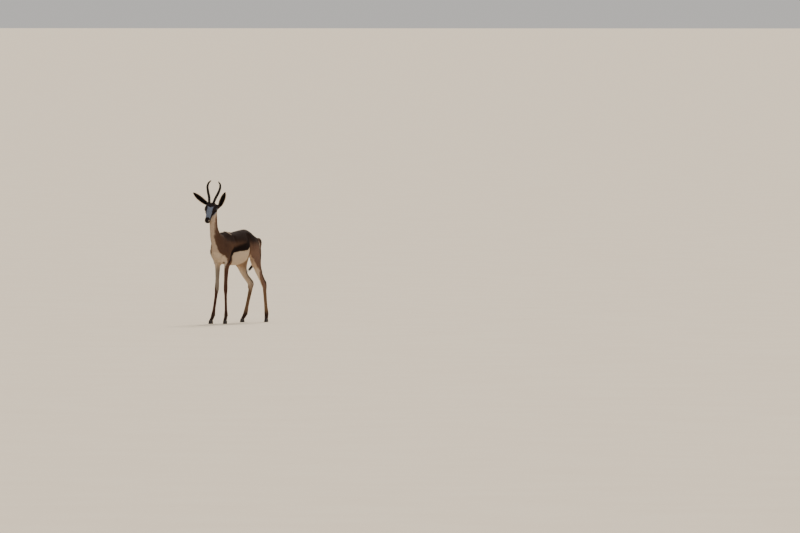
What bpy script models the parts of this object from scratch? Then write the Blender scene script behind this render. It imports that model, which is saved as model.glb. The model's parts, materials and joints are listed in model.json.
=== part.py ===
"""A springbok ewe, life size, standing still with its head turned to look back at the viewer.

Metres. The animal faces -Y, its left side is +X, and its soles stand on z = 0.
The body is one smooth field of rounded masses, meshed and then cut into named parts.
"""
import math

import bmesh
import bpy
import numpy as np
import openvdb
from mathutils import Vector

GAP = 0.0004
BODY_STEP = 0.006
HEAD_STEP = 0.0035
BODY_TRIANGLES = 4500
HEAD_TRIANGLES = 1500
TAIL_TRIANGLES = 260

HEAD_YAW = math.radians(3)
HEAD_PITCH = math.radians(52)
HEAD_ROLL = math.radians(13.5)
BETWEEN_EYES = np.array((-0.003, -0.449, 0.953))
EYE_APART = 0.0355
EYE_RADIUS = 0.0135
EAR_LENGTH = 0.164

COAT_BROWN = (0.300, 0.150, 0.075)
COAT_NECK = (0.360, 0.195, 0.105)
COAT_WHITE = (0.720, 0.660, 0.590)
COAT_FACE = (0.560, 0.500, 0.440)
COAT_LEG = (0.340, 0.190, 0.110)
HORN_BLACK = (0.030, 0.024, 0.020)
HOOF_BLACK = (0.022, 0.018, 0.016)
EYE_BLACK = (0.010, 0.006, 0.004)

# Trunk: y, top of the back, underline, half width.
TRUNK = (
    (-0.372, 0.662, 0.590, 0.026),
    (-0.345, 0.702, 0.545, 0.050),
    (-0.285, 0.738, 0.508, 0.068),
    (-0.200, 0.750, 0.489, 0.079),
    (-0.100, 0.756, 0.482, 0.091),
    (0.000, 0.768, 0.487, 0.095),
    (0.080, 0.776, 0.508, 0.086),
    (0.140, 0.772, 0.545, 0.072),
    (0.200, 0.752, 0.580, 0.063),
    (0.255, 0.724, 0.605, 0.050),
    (0.300, 0.692, 0.625, 0.032),
)
BELLY_FULLNESS = 0.12

# Columns: height, x, y, half width across, half depth fore and aft.
NECK = (
    (0.560, 0.000, -0.245, 0.030, 0.050),
    (0.600, 0.000, -0.276, 0.038, 0.078),
    (0.650, 0.000, -0.310, 0.045, 0.092),
    (0.700, 0.000, -0.344, 0.044, 0.084),
    (0.745, 0.000, -0.376, 0.038, 0.063),
    (0.790, 0.000, -0.398, 0.032, 0.047),
    (0.840, 0.000, -0.407, 0.030, 0.043),
    (0.890, 0.001, -0.413, 0.030, 0.042),
    (0.930, 0.002, -0.420, 0.031, 0.040),
)
WITHERS = (
    (-0.300, 0.000, 0.708, 0.020, 0.022),
    (-0.225, 0.000, 0.734, 0.018, 0.024),
    (-0.150, 0.000, 0.732, 0.016, 0.020),
)
SHOULDER = (
    (0.605, 0.053, -0.292, 0.024, 0.048),
    (0.665, 0.045, -0.248, 0.024, 0.052),
    (0.722, 0.024, -0.205, 0.013, 0.036),
)
UPPER_ARM = (
    (0.520, 0.053, -0.250, 0.022, 0.036),
    (0.560, 0.054, -0.280, 0.025, 0.044),
    (0.600, 0.047, -0.302, 0.022, 0.036),
)
HAUNCH = (
    (0.490, 0.077, 0.168, 0.023, 0.038),
    (0.540, 0.066, 0.178, 0.031, 0.060),
    (0.600, 0.056, 0.180, 0.034, 0.078),
    (0.660, 0.046, 0.162, 0.032, 0.076),
    (0.718, 0.028, 0.130, 0.026, 0.048),
)
HAM = (
    (0.430, 0.073, 0.240, 0.016, 0.030),
    (0.505, 0.063, 0.238, 0.022, 0.040),
    (0.575, 0.052, 0.250, 0.029, 0.046),
    (0.635, 0.042, 0.256, 0.029, 0.046),
    (0.684, 0.028, 0.240, 0.022, 0.040),
)
FORE_LEG = {
    "left": (
        (0.024, 0.052, -0.304, 0.0145, 0.0175),
        (0.050, 0.051, -0.292, 0.0125, 0.0148),
        (0.076, 0.051, -0.285, 0.0134, 0.0164),
        (0.130, 0.051, -0.286, 0.0098, 0.0119),
        (0.235, 0.051, -0.290, 0.0104, 0.0125),
        (0.292, 0.051, -0.291, 0.0151, 0.0172),
        (0.370, 0.051, -0.287, 0.0138, 0.0172),
        (0.462, 0.053, -0.278, 0.0178, 0.0265),
        (0.530, 0.056, -0.252, 0.0240, 0.0420),
    ),
    "right": (
        (0.024, -0.059, -0.347, 0.0145, 0.0180),
        (0.050, -0.057, -0.326, 0.0136, 0.0172),
        (0.076, -0.056, -0.312, 0.0145, 0.0184),
        (0.130, -0.053, -0.299, 0.0106, 0.0132),
        (0.235, -0.048, -0.277, 0.0113, 0.0138),
        (0.292, -0.046, -0.267, 0.0163, 0.0186),
        (0.370, -0.043, -0.264, 0.0138, 0.0172),
        (0.462, -0.045, -0.256, 0.0178, 0.0265),
        (0.530, -0.054, -0.246, 0.0240, 0.0420),
    ),
}
HIND_LEG = {
    "left": (
        (0.024, 0.083, 0.349, 0.0145, 0.0175),
        (0.050, 0.082, 0.354, 0.0144, 0.0173),
        (0.076, 0.081, 0.357, 0.0156, 0.0195),
        (0.150, 0.078, 0.350, 0.0120, 0.0149),
        (0.262, 0.073, 0.342, 0.0129, 0.0181),
        (0.290, 0.072, 0.341, 0.0159, 0.0232),
        (0.318, 0.072, 0.327, 0.0152, 0.0370),
        (0.355, 0.074, 0.294, 0.0150, 0.0395),
        (0.402, 0.077, 0.246, 0.0170, 0.0430),
        (0.468, 0.080, 0.194, 0.0235, 0.0520),
        (0.520, 0.076, 0.172, 0.0280, 0.0560),
    ),
    "right": (
        (0.024, -0.070, 0.213, 0.0145, 0.0180),
        (0.050, -0.070, 0.245, 0.0151, 0.0218),
        (0.076, -0.069, 0.266, 0.0164, 0.0218),
        (0.150, -0.068, 0.297, 0.0125, 0.0166),
        (0.262, -0.065, 0.341, 0.0136, 0.0212),
        (0.290, -0.064, 0.343, 0.0165, 0.0300),
        (0.318, -0.064, 0.347, 0.0172, 0.0410),
        (0.355, -0.067, 0.311, 0.0165, 0.0500),
        (0.402, -0.073, 0.256, 0.0170, 0.0480),
        (0.468, -0.078, 0.205, 0.0235, 0.0530),
        (0.520, -0.076, 0.178, 0.0280, 0.0560),
    ),
}
TAIL = (
    (0.422, -0.104, 0.355, 0.0030, 0.0030),
    (0.434, -0.090, 0.356, 0.0058, 0.0062),
    (0.452, -0.072, 0.357, 0.0078, 0.0078),
    (0.485, -0.046, 0.355, 0.0105, 0.0102),
    (0.535, -0.025, 0.346, 0.0095, 0.0100),
    (0.610, -0.008, 0.333, 0.0095, 0.0105),
    (0.655, 0.000, 0.318, 0.0110, 0.0150),
    (0.685, 0.000, 0.292, 0.0120, 0.0180),
)

# Head: along the face from poll to nose, then middle and half sizes across and up.
CRANIUM = (
    (-0.058, 0.000, -0.024, 0.028, 0.026),
    (-0.038, 0.000, -0.007, 0.036, 0.033),
    (-0.012, 0.000, -0.001, 0.039, 0.036),
    (0.014, 0.000, -0.003, 0.035, 0.034),
)
FACE = (
    (-0.010, 0.000, 0.000, 0.0375, 0.0345),
    (0.028, 0.000, -0.0055, 0.0310, 0.0315),
    (0.058, 0.000, -0.0115, 0.0255, 0.0275),
    (0.082, 0.000, -0.0155, 0.0238, 0.0240),
    (0.098, 0.000, -0.0172, 0.0243, 0.0215),
    (0.108, 0.000, -0.0185, 0.0208, 0.0180),
)
JAW = (
    (-0.045, 0.000, -0.044, 0.019, 0.014),
    (-0.015, 0.000, -0.050, 0.021, 0.0135),
    (0.028, 0.000, -0.046, 0.018, 0.0125),
    (0.065, 0.000, -0.041, 0.016, 0.0110),
    (0.092, 0.000, -0.0385, 0.0155, 0.0102),
    (0.101, 0.000, -0.0365, 0.0128, 0.0085),
)
CHEEK = (
    (-0.046, 0.022, -0.030, 0.012, 0.022),
    (-0.020, 0.025, -0.032, 0.013, 0.022),
    (0.025, 0.018, -0.030, 0.010, 0.016),
)
BROW = (
    (-0.022, 0.032, 0.018, 0.010, 0.010),
    (0.000, 0.0365, 0.017, 0.010, 0.010),
    (0.022, 0.031, 0.011, 0.009, 0.010),
)
CHEEKBONE = (
    (-0.030, 0.036, -0.012, 0.008, 0.010),
    (-0.004, 0.0375, -0.015, 0.009, 0.010),
    (0.028, 0.030, -0.014, 0.008, 0.010),
)
# Horn: across, along and up from between the eyes, then the radius.
HORN = (
    (0.0175, -0.023, 0.012, 0.0104),
    (0.0188, -0.043, 0.038, 0.0100),
    (0.0284, -0.079, 0.060, 0.0101),
    (0.0432, -0.112, 0.083, 0.0098),
    (0.0532, -0.140, 0.106, 0.0095),
    (0.0540, -0.159, 0.118, 0.0088),
    (0.0490, -0.176, 0.126, 0.0074),
    (0.0375, -0.187, 0.136, 0.0053),
    (0.0305, -0.192, 0.142, 0.0020),
)
# Ear along its length: share of the length, half width round the cup, cup radius, thickness.
EAR = (
    (0.00, 0.0140, 0.0090, 0.0046),
    (0.10, 0.0200, 0.0118, 0.0040),
    (0.22, 0.0258, 0.0158, 0.0034),
    (0.38, 0.0284, 0.0196, 0.0030),
    (0.55, 0.0270, 0.0215, 0.0028),
    (0.70, 0.0235, 0.0225, 0.0026),
    (0.84, 0.0160, 0.0220, 0.0024),
    (0.94, 0.0080, 0.0210, 0.0022),
    (1.00, 0.0018, 0.0200, 0.0020),
)
# Outline of one claw seen from above: along towards the toe, outwards from the cleft.
CLAW = (
    (-0.0190, 0.0035),
    (-0.0060, 0.0010),
    (0.0140, 0.0010),
    (0.0275, 0.0028),
    (0.0290, 0.0058),
    (0.0210, 0.0102),
    (0.0090, 0.0138),
    (-0.0050, 0.0152),
    (-0.0150, 0.0132),
    (-0.0200, 0.0085),
)
CORONET = 0.026
CORONET_SLOPE = 0.25
TOE_OUT = math.radians(4)

# Where the parts meet: a point on each cut and the way the upper part lies.
THROAT = Vector((0.0, -0.410, 0.910))
ABOVE_THROAT = Vector((0.0, -0.795, 0.607)).normalized()
NECK_BASE = Vector((0.0, -0.335, 0.705))
ABOVE_NECK_BASE = Vector((0.0, -0.72, 0.69)).normalized()
# Blocks that part the legs: x and z for the fore leg, y and z for the hind leg.
FORE_BLOCK = ((0.008, -0.05), (0.160, -0.05), (0.160, 0.560), (0.035, 0.497), (0.008, 0.483))
FORE_BLOCK_SPAN = (-0.42, -0.17)
HIND_BLOCK = ((0.100, -0.05), (0.450, -0.05), (0.450, 0.640), (0.100, 0.520))
HIND_BLOCK_SPAN = (0.003, 0.160)

BODY_BOX = ((-0.16, -0.62, -0.03), (0.16, 0.44, 1.10))
HEAD_BOX = ((-0.12, -0.60, 0.80), (0.12, -0.32, 1.08))
TAIL_BOX = ((-0.16, 0.24, 0.37), (0.06, 0.42, 0.73))
TAIL_STEP = 0.0035


def unit(vector):
    vector = np.asarray(vector, float)
    return vector / np.linalg.norm(vector)


def smooth_min(a, b, k):
    h = np.maximum(k - np.abs(a - b), 0.0) / k
    return np.minimum(a, b) - h * h * k * 0.25


def spline(rows, steps):
    """A smooth curve through every row, whatever the columns hold."""
    rows = np.asarray(rows, float)
    ends = np.vstack((2 * rows[0] - rows[1], rows, 2 * rows[-1] - rows[-2]))
    dense = []
    for before, start, stop, after in zip(ends[:-3], ends[1:-2], ends[2:-1], ends[3:]):
        for t in np.arange(steps) / steps:
            bend = 2 * before - 5 * start + 4 * stop - after
            twist = 3 * start - before - 3 * stop + after
            dense.append(0.5 * (2 * start + (stop - before) * t + bend * t * t + twist * t ** 3))
    dense.append(rows[-1])
    return np.array(dense)


class Frame:
    """An origin and three axes; a loft runs along the third."""

    def __init__(self, origin, first, second, along):
        self.origin = np.asarray(origin, float)
        self.axes = np.array((first, second, along), float)

    def local(self, points):
        return (points - self.origin) @ self.axes.T

    def world(self, first, second, along):
        return self.origin + np.array((first, second, along)) @ self.axes


def head_axes():
    """The head's own left, forward and up."""
    heading = np.array((math.sin(HEAD_YAW), -math.cos(HEAD_YAW), 0.0))
    sky = np.array((0.0, 0.0, 1.0))
    level_left = np.cross(sky, heading)
    forward = math.cos(HEAD_PITCH) * heading - math.sin(HEAD_PITCH) * sky
    level_up = math.sin(HEAD_PITCH) * heading + math.cos(HEAD_PITCH) * sky
    left = math.cos(HEAD_ROLL) * level_left - math.sin(HEAD_ROLL) * level_up
    up = math.cos(HEAD_ROLL) * level_up + math.sin(HEAD_ROLL) * level_left
    return left, forward, up


LEFT, FORWARD, UP = head_axes()
UPRIGHT = Frame((0, 0, 0), (1, 0, 0), (0, 1, 0), (0, 0, 1))
LENGTHWISE = Frame((0, 0, 0), (1, 0, 0), (0, 0, 1), (0, 1, 0))
HEAD = Frame(BETWEEN_EYES, LEFT, UP, FORWARD)

# Each ear: where its root is on the head, the way its tip points, the way its cup opens,
# and its sideways bow.
EARS = {
    "left": (
        HEAD.world(0.044, -0.029, -0.052), unit((0.606, -0.350, 0.710)),
        (0.304, -0.701, -0.599), 0.0075,
    ),
    "right": (
        HEAD.world(-0.038, -0.022, -0.056), unit((-0.497, -0.619, 0.570)),
        (0.380, -0.930, -0.300), 0.0,
    ),
}


class Mass:
    """One rounded mass of the animal: a signed distance, its box and how softly it joins."""

    def __init__(self, distance, low, high, blend):
        self.distance = distance
        self.low = np.asarray(low, float)
        self.high = np.asarray(high, float)
        self.blend = blend


def loft(rows, frame=UPRIGHT, blend=0.02, power=2.0, fullness=0.0):
    """Rows: along, middle first, middle second, half size first, half size second."""
    dense = spline(sorted(rows), 12)
    along = dense[:, 0]
    lean = np.hypot(np.gradient(dense[:, 1], along), np.gradient(dense[:, 2], along))

    def distance(points):
        p = frame.local(points)
        t = np.clip(p[:, 2], along[0], along[-1])
        middle_1, middle_2, half_1, half_2 = (np.interp(t, along, dense[:, k]) for k in (1, 2, 3, 4))
        u = np.abs(p[:, 0] - middle_1)
        v = p[:, 1] - middle_2
        half_1 = half_1 * (1 - fullness * np.clip(v / half_2, -1, 1))
        cap = np.minimum(half_1, half_2)
        over = np.abs(p[:, 2] - t)
        v = np.abs(v)
        terms = ((u / half_1, half_1), (v / half_2, half_2), (over / cap, cap))
        reach = sum(ratio ** power for ratio, size in terms) ** (1 / power)
        slope = np.sqrt(sum((ratio ** (power - 1) / size) ** 2 for ratio, size in terms))
        slope = slope / np.maximum(reach, 1e-6) ** (power - 1) + 1e-9
        return (reach - 1) / slope / np.sqrt(1 + np.interp(t, along, lean) ** 2)

    corners = []
    for row in dense:
        for first in (-1, 1):
            for second in (-1, 1):
                across = row[1] + first * row[3] * (1 + fullness)
                corners.append(frame.world(across, row[2] + second * row[4], row[0]))
    margin = dense[:, 3:].max(axis=1)[[0, -1]].max()
    return Mass(distance, np.min(corners, axis=0) - margin, np.max(corners, axis=0) + margin, blend)


def ball(centre, radii, frame=UPRIGHT, blend=0.02):
    """An ellipsoid with its radii along the frame's axes."""
    centre = np.asarray(centre, float)
    radii = np.asarray(radii, float)

    def distance(points):
        p = (points - centre) @ frame.axes.T
        reach = np.linalg.norm(p / radii, axis=1)
        slope = np.linalg.norm(p / radii ** 2, axis=1) + 1e-9
        return reach * (reach - 1) / slope

    return Mass(distance, centre - radii.max(), centre + radii.max(), blend)


def mirrored(rows, side):
    """The same rows for the animal's left (1) or right (-1)."""
    return [(row[0], side * row[1], *row[2:]) for row in rows]


def body_masses():
    trunk = [(y, 0, (top + bottom) / 2, half, (top - bottom) / 2) for y, top, bottom, half in TRUNK]
    masses = [
        loft(trunk, LENGTHWISE, 0.02, fullness=BELLY_FULLNESS),
        loft(WITHERS, LENGTHWISE, 0.03),
        loft(NECK, blend=0.04),
        ball((0, -0.338, 0.605), (0.046, 0.040, 0.060), blend=0.04),
        ball((0, -0.268, 0.748), (0.012, 0.022, 0.013), blend=0.012),
    ]
    for side, name in ((1, "left"), (-1, "right")):
        for rows, blend in ((SHOULDER, 0.03), (UPPER_ARM, 0.025), (HAUNCH, 0.03), (HAM, 0.03)):
            masses.append(loft(mirrored(rows, side), blend=blend))
        masses.append(loft(FORE_LEG[name], blend=0.015))
        masses.append(loft(HIND_LEG[name], blend=0.02))
        height, x, y = FORE_LEG[name][-2][:3]
        masses.append(ball((x, y + 0.034, height + 0.045), (0.014, 0.017, 0.022)))
        height, x, y = HIND_LEG[name][6][:3]
        masses.append(ball((x, y + 0.018, height + 0.006), (0.009, 0.010, 0.022), blend=0.012))
        masses.append(ball((side * 0.046, 0.289, 0.668), (0.022, 0.024, 0.034), blend=0.03))
        for rows in (FORE_LEG[name], HIND_LEG[name]):
            height, x, y = rows[2][:3]
            for offset in (-0.0080, 0.0080):
                dewclaw = (x + offset, y + 0.014, height - 0.006)
                masses.append(ball(dewclaw, (0.005, 0.006, 0.009), blend=0.004))
    return masses


def head_masses():
    masses = [
        loft(CRANIUM, HEAD, 0.02),
        loft(FACE, HEAD, 0.012, power=2.25),
        loft(JAW, HEAD, 0.014),
    ]
    for side, name in ((1, "left"), (-1, "right")):
        for rows, blend in ((CHEEK, 0.02), (BROW, 0.012), (CHEEKBONE, 0.012)):
            masses.append(loft(mirrored(rows, side), HEAD, blend))
        root = EARS[name][0]
        masses.append(ball(root, (0.011, 0.011, 0.011), blend=0.02))
    return masses


def sampled_field(masses, low, high, step, margin=0.03):
    """The smooth union of the masses on a grid of the given step."""
    low = np.asarray(low, float)
    count = np.ceil((np.asarray(high) - low) / step).astype(int) + 1
    axes = [low[k] + step * np.arange(count[k]) for k in range(3)]
    field = np.full(count, 1.0, np.float32)
    for mass in masses:
        first = np.maximum(np.floor((mass.low - margin - low) / step).astype(int), 0)
        last = np.minimum(np.ceil((mass.high + margin - low) / step).astype(int) + 1, count)
        if (last <= first).any():
            continue
        box = tuple(slice(a, b) for a, b in zip(first, last))
        grid = np.meshgrid(*(axis[part] for axis, part in zip(axes, box)), indexing="ij")
        points = np.stack([g.ravel() for g in grid], axis=1)
        values = mass.distance(points).reshape(grid[0].shape)
        field[box] = smooth_min(field[box], values, mass.blend)
    return field


def new_object(name, points, faces):
    mesh = bpy.data.meshes.new(name)
    mesh.from_pydata([tuple(p) for p in points], [], [tuple(f) for f in faces])
    obj = bpy.data.objects.new(name, mesh)
    bpy.context.scene.collection.objects.link(obj)
    work = bmesh.new()
    work.from_mesh(mesh)
    bmesh.ops.recalc_face_normals(work, faces=work.faces)
    work.to_mesh(mesh)
    work.free()
    return obj


def apply_modifiers(obj):
    graph = bpy.context.evaluated_depsgraph_get()
    mesh = bpy.data.meshes.new_from_object(obj.evaluated_get(graph))
    obj.modifiers.clear()
    obj.data = mesh
    mesh.name = obj.name


def field_object(name, masses, low, high, step, triangles):
    """A closed mesh of the field, thinned to about the given number of triangles."""
    grid = openvdb.FloatGrid()
    grid.copyFromArray(sampled_field(masses, low, high, step))
    points, quads = grid.convertToQuads(isovalue=0.0)
    obj = new_object(name, points * step + np.asarray(low, float), quads)
    thin = obj.modifiers.new("thin", "DECIMATE")
    thin.ratio = triangles / (2 * len(quads))
    apply_modifiers(obj)
    return obj


def copy_of(obj, name):
    twin = obj.copy()
    twin.data = obj.data.copy()
    twin.name = name
    bpy.context.scene.collection.objects.link(twin)
    return twin


def remove(obj):
    bpy.data.objects.remove(obj)


def combine(obj, other, operation):
    """A boolean of two closed bodies; the second one is used up."""
    tool = obj.modifiers.new(operation, "BOOLEAN")
    tool.operation = operation
    tool.solver = "EXACT"
    tool.object = other
    apply_modifiers(obj)
    remove(other)


def slice_off(obj, point, normal):
    """Keep the side the normal points to, and close the cut with a flat face."""
    work = bmesh.new()
    work.from_mesh(obj.data)
    everything = work.verts[:] + work.edges[:] + work.faces[:]
    cut = bmesh.ops.bisect_plane(work, geom=everything, plane_co=Vector(point), plane_no=Vector(normal),
                                 clear_inner=True)
    edges = [item for item in cut["geom_cut"] if isinstance(item, bmesh.types.BMEdge)]
    bmesh.ops.holes_fill(work, edges=edges, sides=0)
    bmesh.ops.triangulate(work, faces=[face for face in work.faces if len(face.verts) > 4])
    bmesh.ops.recalc_face_normals(work, faces=work.faces)
    work.to_mesh(obj.data)
    work.free()


def largest_piece(obj):
    """Drop any crumb a cut has left beside the main body."""
    work = bmesh.new()
    work.from_mesh(obj.data)
    unseen = set(work.verts)
    pieces = []
    while unseen:
        todo = [unseen.pop()]
        piece = []
        while todo:
            vertex = todo.pop()
            piece.append(vertex)
            for edge in vertex.link_edges:
                other = edge.other_vert(vertex)
                if other in unseen:
                    unseen.remove(other)
                    todo.append(other)
        pieces.append(piece)
    pieces.sort(key=len)
    for piece in pieces[:-1]:
        bmesh.ops.delete(work, geom=piece, context="VERTS")
    work.to_mesh(obj.data)
    work.free()


def swollen(obj, name, amount):
    """A copy pushed out along its normals, to cut a seat with an even gap."""
    twin = copy_of(obj, name)
    work = bmesh.new()
    work.from_mesh(twin.data)
    work.normal_update()
    moves = [vertex.normal * amount for vertex in work.verts]
    for vertex, move in zip(work.verts, moves):
        vertex.co += move
    work.to_mesh(twin.data)
    work.free()
    return twin


def seat_on(obj, base):
    """Trim a part where it would enter its base, leaving the gap between them."""
    combine(obj, swollen(base, "seat", GAP * 1.3), "DIFFERENCE")
    largest_piece(obj)


def prism(name, outline, axis, start, stop):
    """A block with the outline in the other two axes, running along one axis."""
    points = []
    for end in (start, stop):
        for a, b in outline:
            points.append((a, end, b) if axis == "y" else (end, a, b))
    count = len(outline)
    faces = [tuple(range(count)), tuple(range(2 * count - 1, count - 1, -1))]
    faces += [(k, (k + 1) % count, (k + 1) % count + count, k + count) for k in range(count)]
    return new_object(name, points, faces)


def leg_block(name, kind, side, gap):
    """What of the body belongs to one leg."""
    if kind == "fore":
        outline = [(side * x, z - gap if z > 0 else z) for x, z in FORE_BLOCK]
        return prism(name, outline, "y", *FORE_BLOCK_SPAN)
    front = HIND_BLOCK[0][0]
    outline = [(y + gap if y == front else y, z - gap if z > 0 else z) for y, z in HIND_BLOCK]
    inner, outer = HIND_BLOCK_SPAN
    return prism(name, outline, "x", side * (inner + gap), side * outer)


def rings_object(name, rings):
    """A closed body from rings of the same number of points, flat at both ends."""
    count = len(rings[0])
    points = np.concatenate(rings)
    faces = [tuple(range(count)), tuple(range(len(points) - count, len(points)))]
    for ring in range(len(rings) - 1):
        for k in range(count):
            a = ring * count + k
            b = ring * count + (k + 1) % count
            faces.append((a, b, b + count, a + count))
    return new_object(name, points, faces)


def horn(name, side):
    path = spline([(*HEAD.world(side * across, up, along), radius) for across, along, up, radius in HORN], 2)
    rings = []
    for k, row in enumerate(path):
        ahead = path[min(k + 1, len(path) - 1)][:3] - path[max(k - 1, 0)][:3]
        first = unit(np.cross(ahead, FORWARD))
        second = unit(np.cross(ahead, first))
        turn = np.linspace(0, 2 * math.pi, 11)[:-1]
        rings.append([row[:3] + row[3] * (math.cos(a) * first + math.sin(a) * second) for a in turn])
    return rings_object(name, rings)


def ear_bow(bow, share):
    """How far the ear's middle line stands aside; it is straight again at root and tip."""
    bent = share ** 0.35
    return bow * 4 * bent * (1 - bent)


def ear(name, side_name, stations=12, across=6):
    """A cupped leaf with real thickness, open towards the given side."""
    root, tip, opening, bow = EARS[side_name]
    opening = unit(opening - np.dot(opening, tip) * tip)
    width = np.cross(tip, opening)
    table = spline(EAR, 8)
    rings = []
    for share in np.linspace(0, 1, stations):
        arc, radius, thick = (np.interp(share, table[:, 0], table[:, k]) for k in (1, 2, 3))
        half_angle = min(arc / radius, 2.5)
        middle = root + tip * EAR_LENGTH * share + opening * (radius - 0.011) + ear_bow(bow, share) * width
        angles = np.linspace(-half_angle, half_angle, across)
        edge = np.abs(np.linspace(-1, 1, across))
        half_thick = thick * (1 - 0.5 * edge ** 3) / 2
        outer = []
        inner = []
        for angle, half in zip(angles, half_thick):
            spoke = math.sin(angle) * width - math.cos(angle) * opening
            outer.append(middle + (radius + half) * spoke)
            inner.append(middle + (radius - half) * spoke)
        rings.append(outer + inner[::-1])
    return rings_object(name, rings)


def eye_centre(side):
    return HEAD.world(side * EYE_APART, 0.001, 0.001)


def sphere(name, centre, radius, rings=8, segments=14):
    mesh = bpy.data.meshes.new(name)
    work = bmesh.new()
    bmesh.ops.create_uvsphere(work, u_segments=segments, v_segments=rings, radius=radius)
    bmesh.ops.translate(work, verts=work.verts, vec=Vector(centre))
    work.to_mesh(mesh)
    work.free()
    obj = bpy.data.objects.new(name, mesh)
    bpy.context.scene.collection.objects.link(obj)
    return obj


def claw(name, x, y, side, turn):
    """One half of a cloven hoof, flat on the ground, its toe towards -Y."""
    rings = []
    for share in (0.0, 0.25, 0.6, 1.0):
        ring = []
        for along, out in CLAW:
            along = along * (1 - 0.30 * share) - 0.003 * share
            out = out * (1 - 0.04 * share) + 0.0003 * share
            height = share * (CORONET + CORONET_SLOPE * along)
            across = side * out
            ring.append((x + across * math.cos(turn) + along * math.sin(turn),
                         y - along * math.cos(turn) + across * math.sin(turn), height))
        rings.append(np.array(ring))
    return rings_object(name, rings)


def paint(obj, colour, roughness):
    material = bpy.data.materials.new(obj.name)
    material.use_nodes = True
    shader = material.node_tree.nodes["Principled BSDF"]
    shader.inputs["Base Color"].default_value = (*colour, 1)
    shader.inputs["Roughness"].default_value = roughness
    shader.inputs["Metallic"].default_value = 0.0
    obj.data.materials.clear()
    obj.data.materials.append(material)
    for face in obj.data.polygons:
        face.material_index = 0


def build():
    for old in list(bpy.data.objects):
        bpy.data.objects.remove(old)
    body = body_masses()
    everything = body + head_masses()

    head = field_object("head", everything, *HEAD_BOX, HEAD_STEP, HEAD_TRIANGLES)
    trunk = field_object("trunk", everything, *BODY_BOX, BODY_STEP, BODY_TRIANGLES)

    slice_off(head, THROAT, ABOVE_THROAT)
    largest_piece(head)
    slice_off(trunk, THROAT - ABOVE_THROAT * GAP, -ABOVE_THROAT)
    neck = copy_of(trunk, "neck")
    slice_off(neck, NECK_BASE, ABOVE_NECK_BASE)
    slice_off(trunk, NECK_BASE - ABOVE_NECK_BASE * GAP, -ABOVE_NECK_BASE)

    parts = {"head": head, "neck": neck, "trunk": trunk}
    for side, side_name in ((1, "left"), (-1, "right")):
        for kind, legs in (("fore", FORE_LEG), ("hind", HIND_LEG)):
            name = f"leg_{kind}_{side_name}"
            leg = copy_of(trunk, name)
            combine(leg, leg_block("block", kind, side, GAP), "INTERSECT")
            largest_piece(leg)
            combine(trunk, leg_block("block", kind, side, 0.0), "DIFFERENCE")
            height, x, y = legs[side_name][0][:3]
            top = CORONET + 1.2 * GAP
            slice_off(leg, (x, y, top), Vector((0, CORONET_SLOPE, 1)).normalized())
            parts[name] = leg
            for which, facing in (("outer", side), ("inner", -side)):
                hoof = f"hoof_{kind}_{side_name}_{which}"
                parts[hoof] = claw(hoof, x, y, facing, side * TOE_OUT)
    largest_piece(trunk)

    tail = field_object("tail", [loft(TAIL, blend=0.01)], *TAIL_BOX, TAIL_STEP, TAIL_TRIANGLES)
    seat_on(tail, trunk)
    parts["tail"] = tail

    for side, side_name in ((1, "left"), (-1, "right")):
        combine(head, sphere("socket", eye_centre(side), EYE_RADIUS + GAP, 10, 16), "DIFFERENCE")
        parts[f"eye_{side_name}"] = sphere(f"eye_{side_name}", eye_centre(side), EYE_RADIUS)
        parts[f"horn_{side_name}"] = horn(f"horn_{side_name}", side)
        parts[f"ear_{side_name}"] = ear(f"ear_{side_name}", side_name)
    largest_piece(head)
    for side_name in ("left", "right"):
        for piece in ("horn", "ear"):
            seat_on(parts[f"{piece}_{side_name}"], head)

    looks = (
        ("trunk", COAT_BROWN, 0.85), ("neck", COAT_NECK, 0.85), ("head", COAT_FACE, 0.85),
        ("tail", COAT_WHITE, 0.9), ("ear", COAT_NECK, 0.85), ("leg", COAT_LEG, 0.85),
        ("horn", HORN_BLACK, 0.45), ("hoof", HOOF_BLACK, 0.5), ("eye", EYE_BLACK, 0.08),
    )
    for name, obj in parts.items():
        for start, colour, roughness in looks:
            if name.startswith(start):
                paint(obj, colour, roughness)

    corners = [vertex.co for obj in parts.values() for vertex in obj.data.vertices]
    low = [min(corner[k] for corner in corners) for k in range(3)]
    high = [max(corner[k] for corner in corners) for k in range(3)]
    middle = Vector(((low[0] + high[0]) / 2, (low[1] + high[1]) / 2, low[2]))
    for obj in parts.values():
        for vertex in obj.data.vertices:
            vertex.co -= middle
        obj.data.update()


build()
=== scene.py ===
"""The looks of a springbok ewe: one skin under a coat of fine locks, with eyes, horns and claws.

Metres. Shapes are worked out with the animal facing -Y, its left side +X and its soles at z = 0,
and are moved by SHIFT when they become meshes, because the frame's origin lies under its middle.
"""
import json
import math

import bmesh
import bpy
import numpy as np
import openvdb
from mathutils import Matrix, Vector

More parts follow.
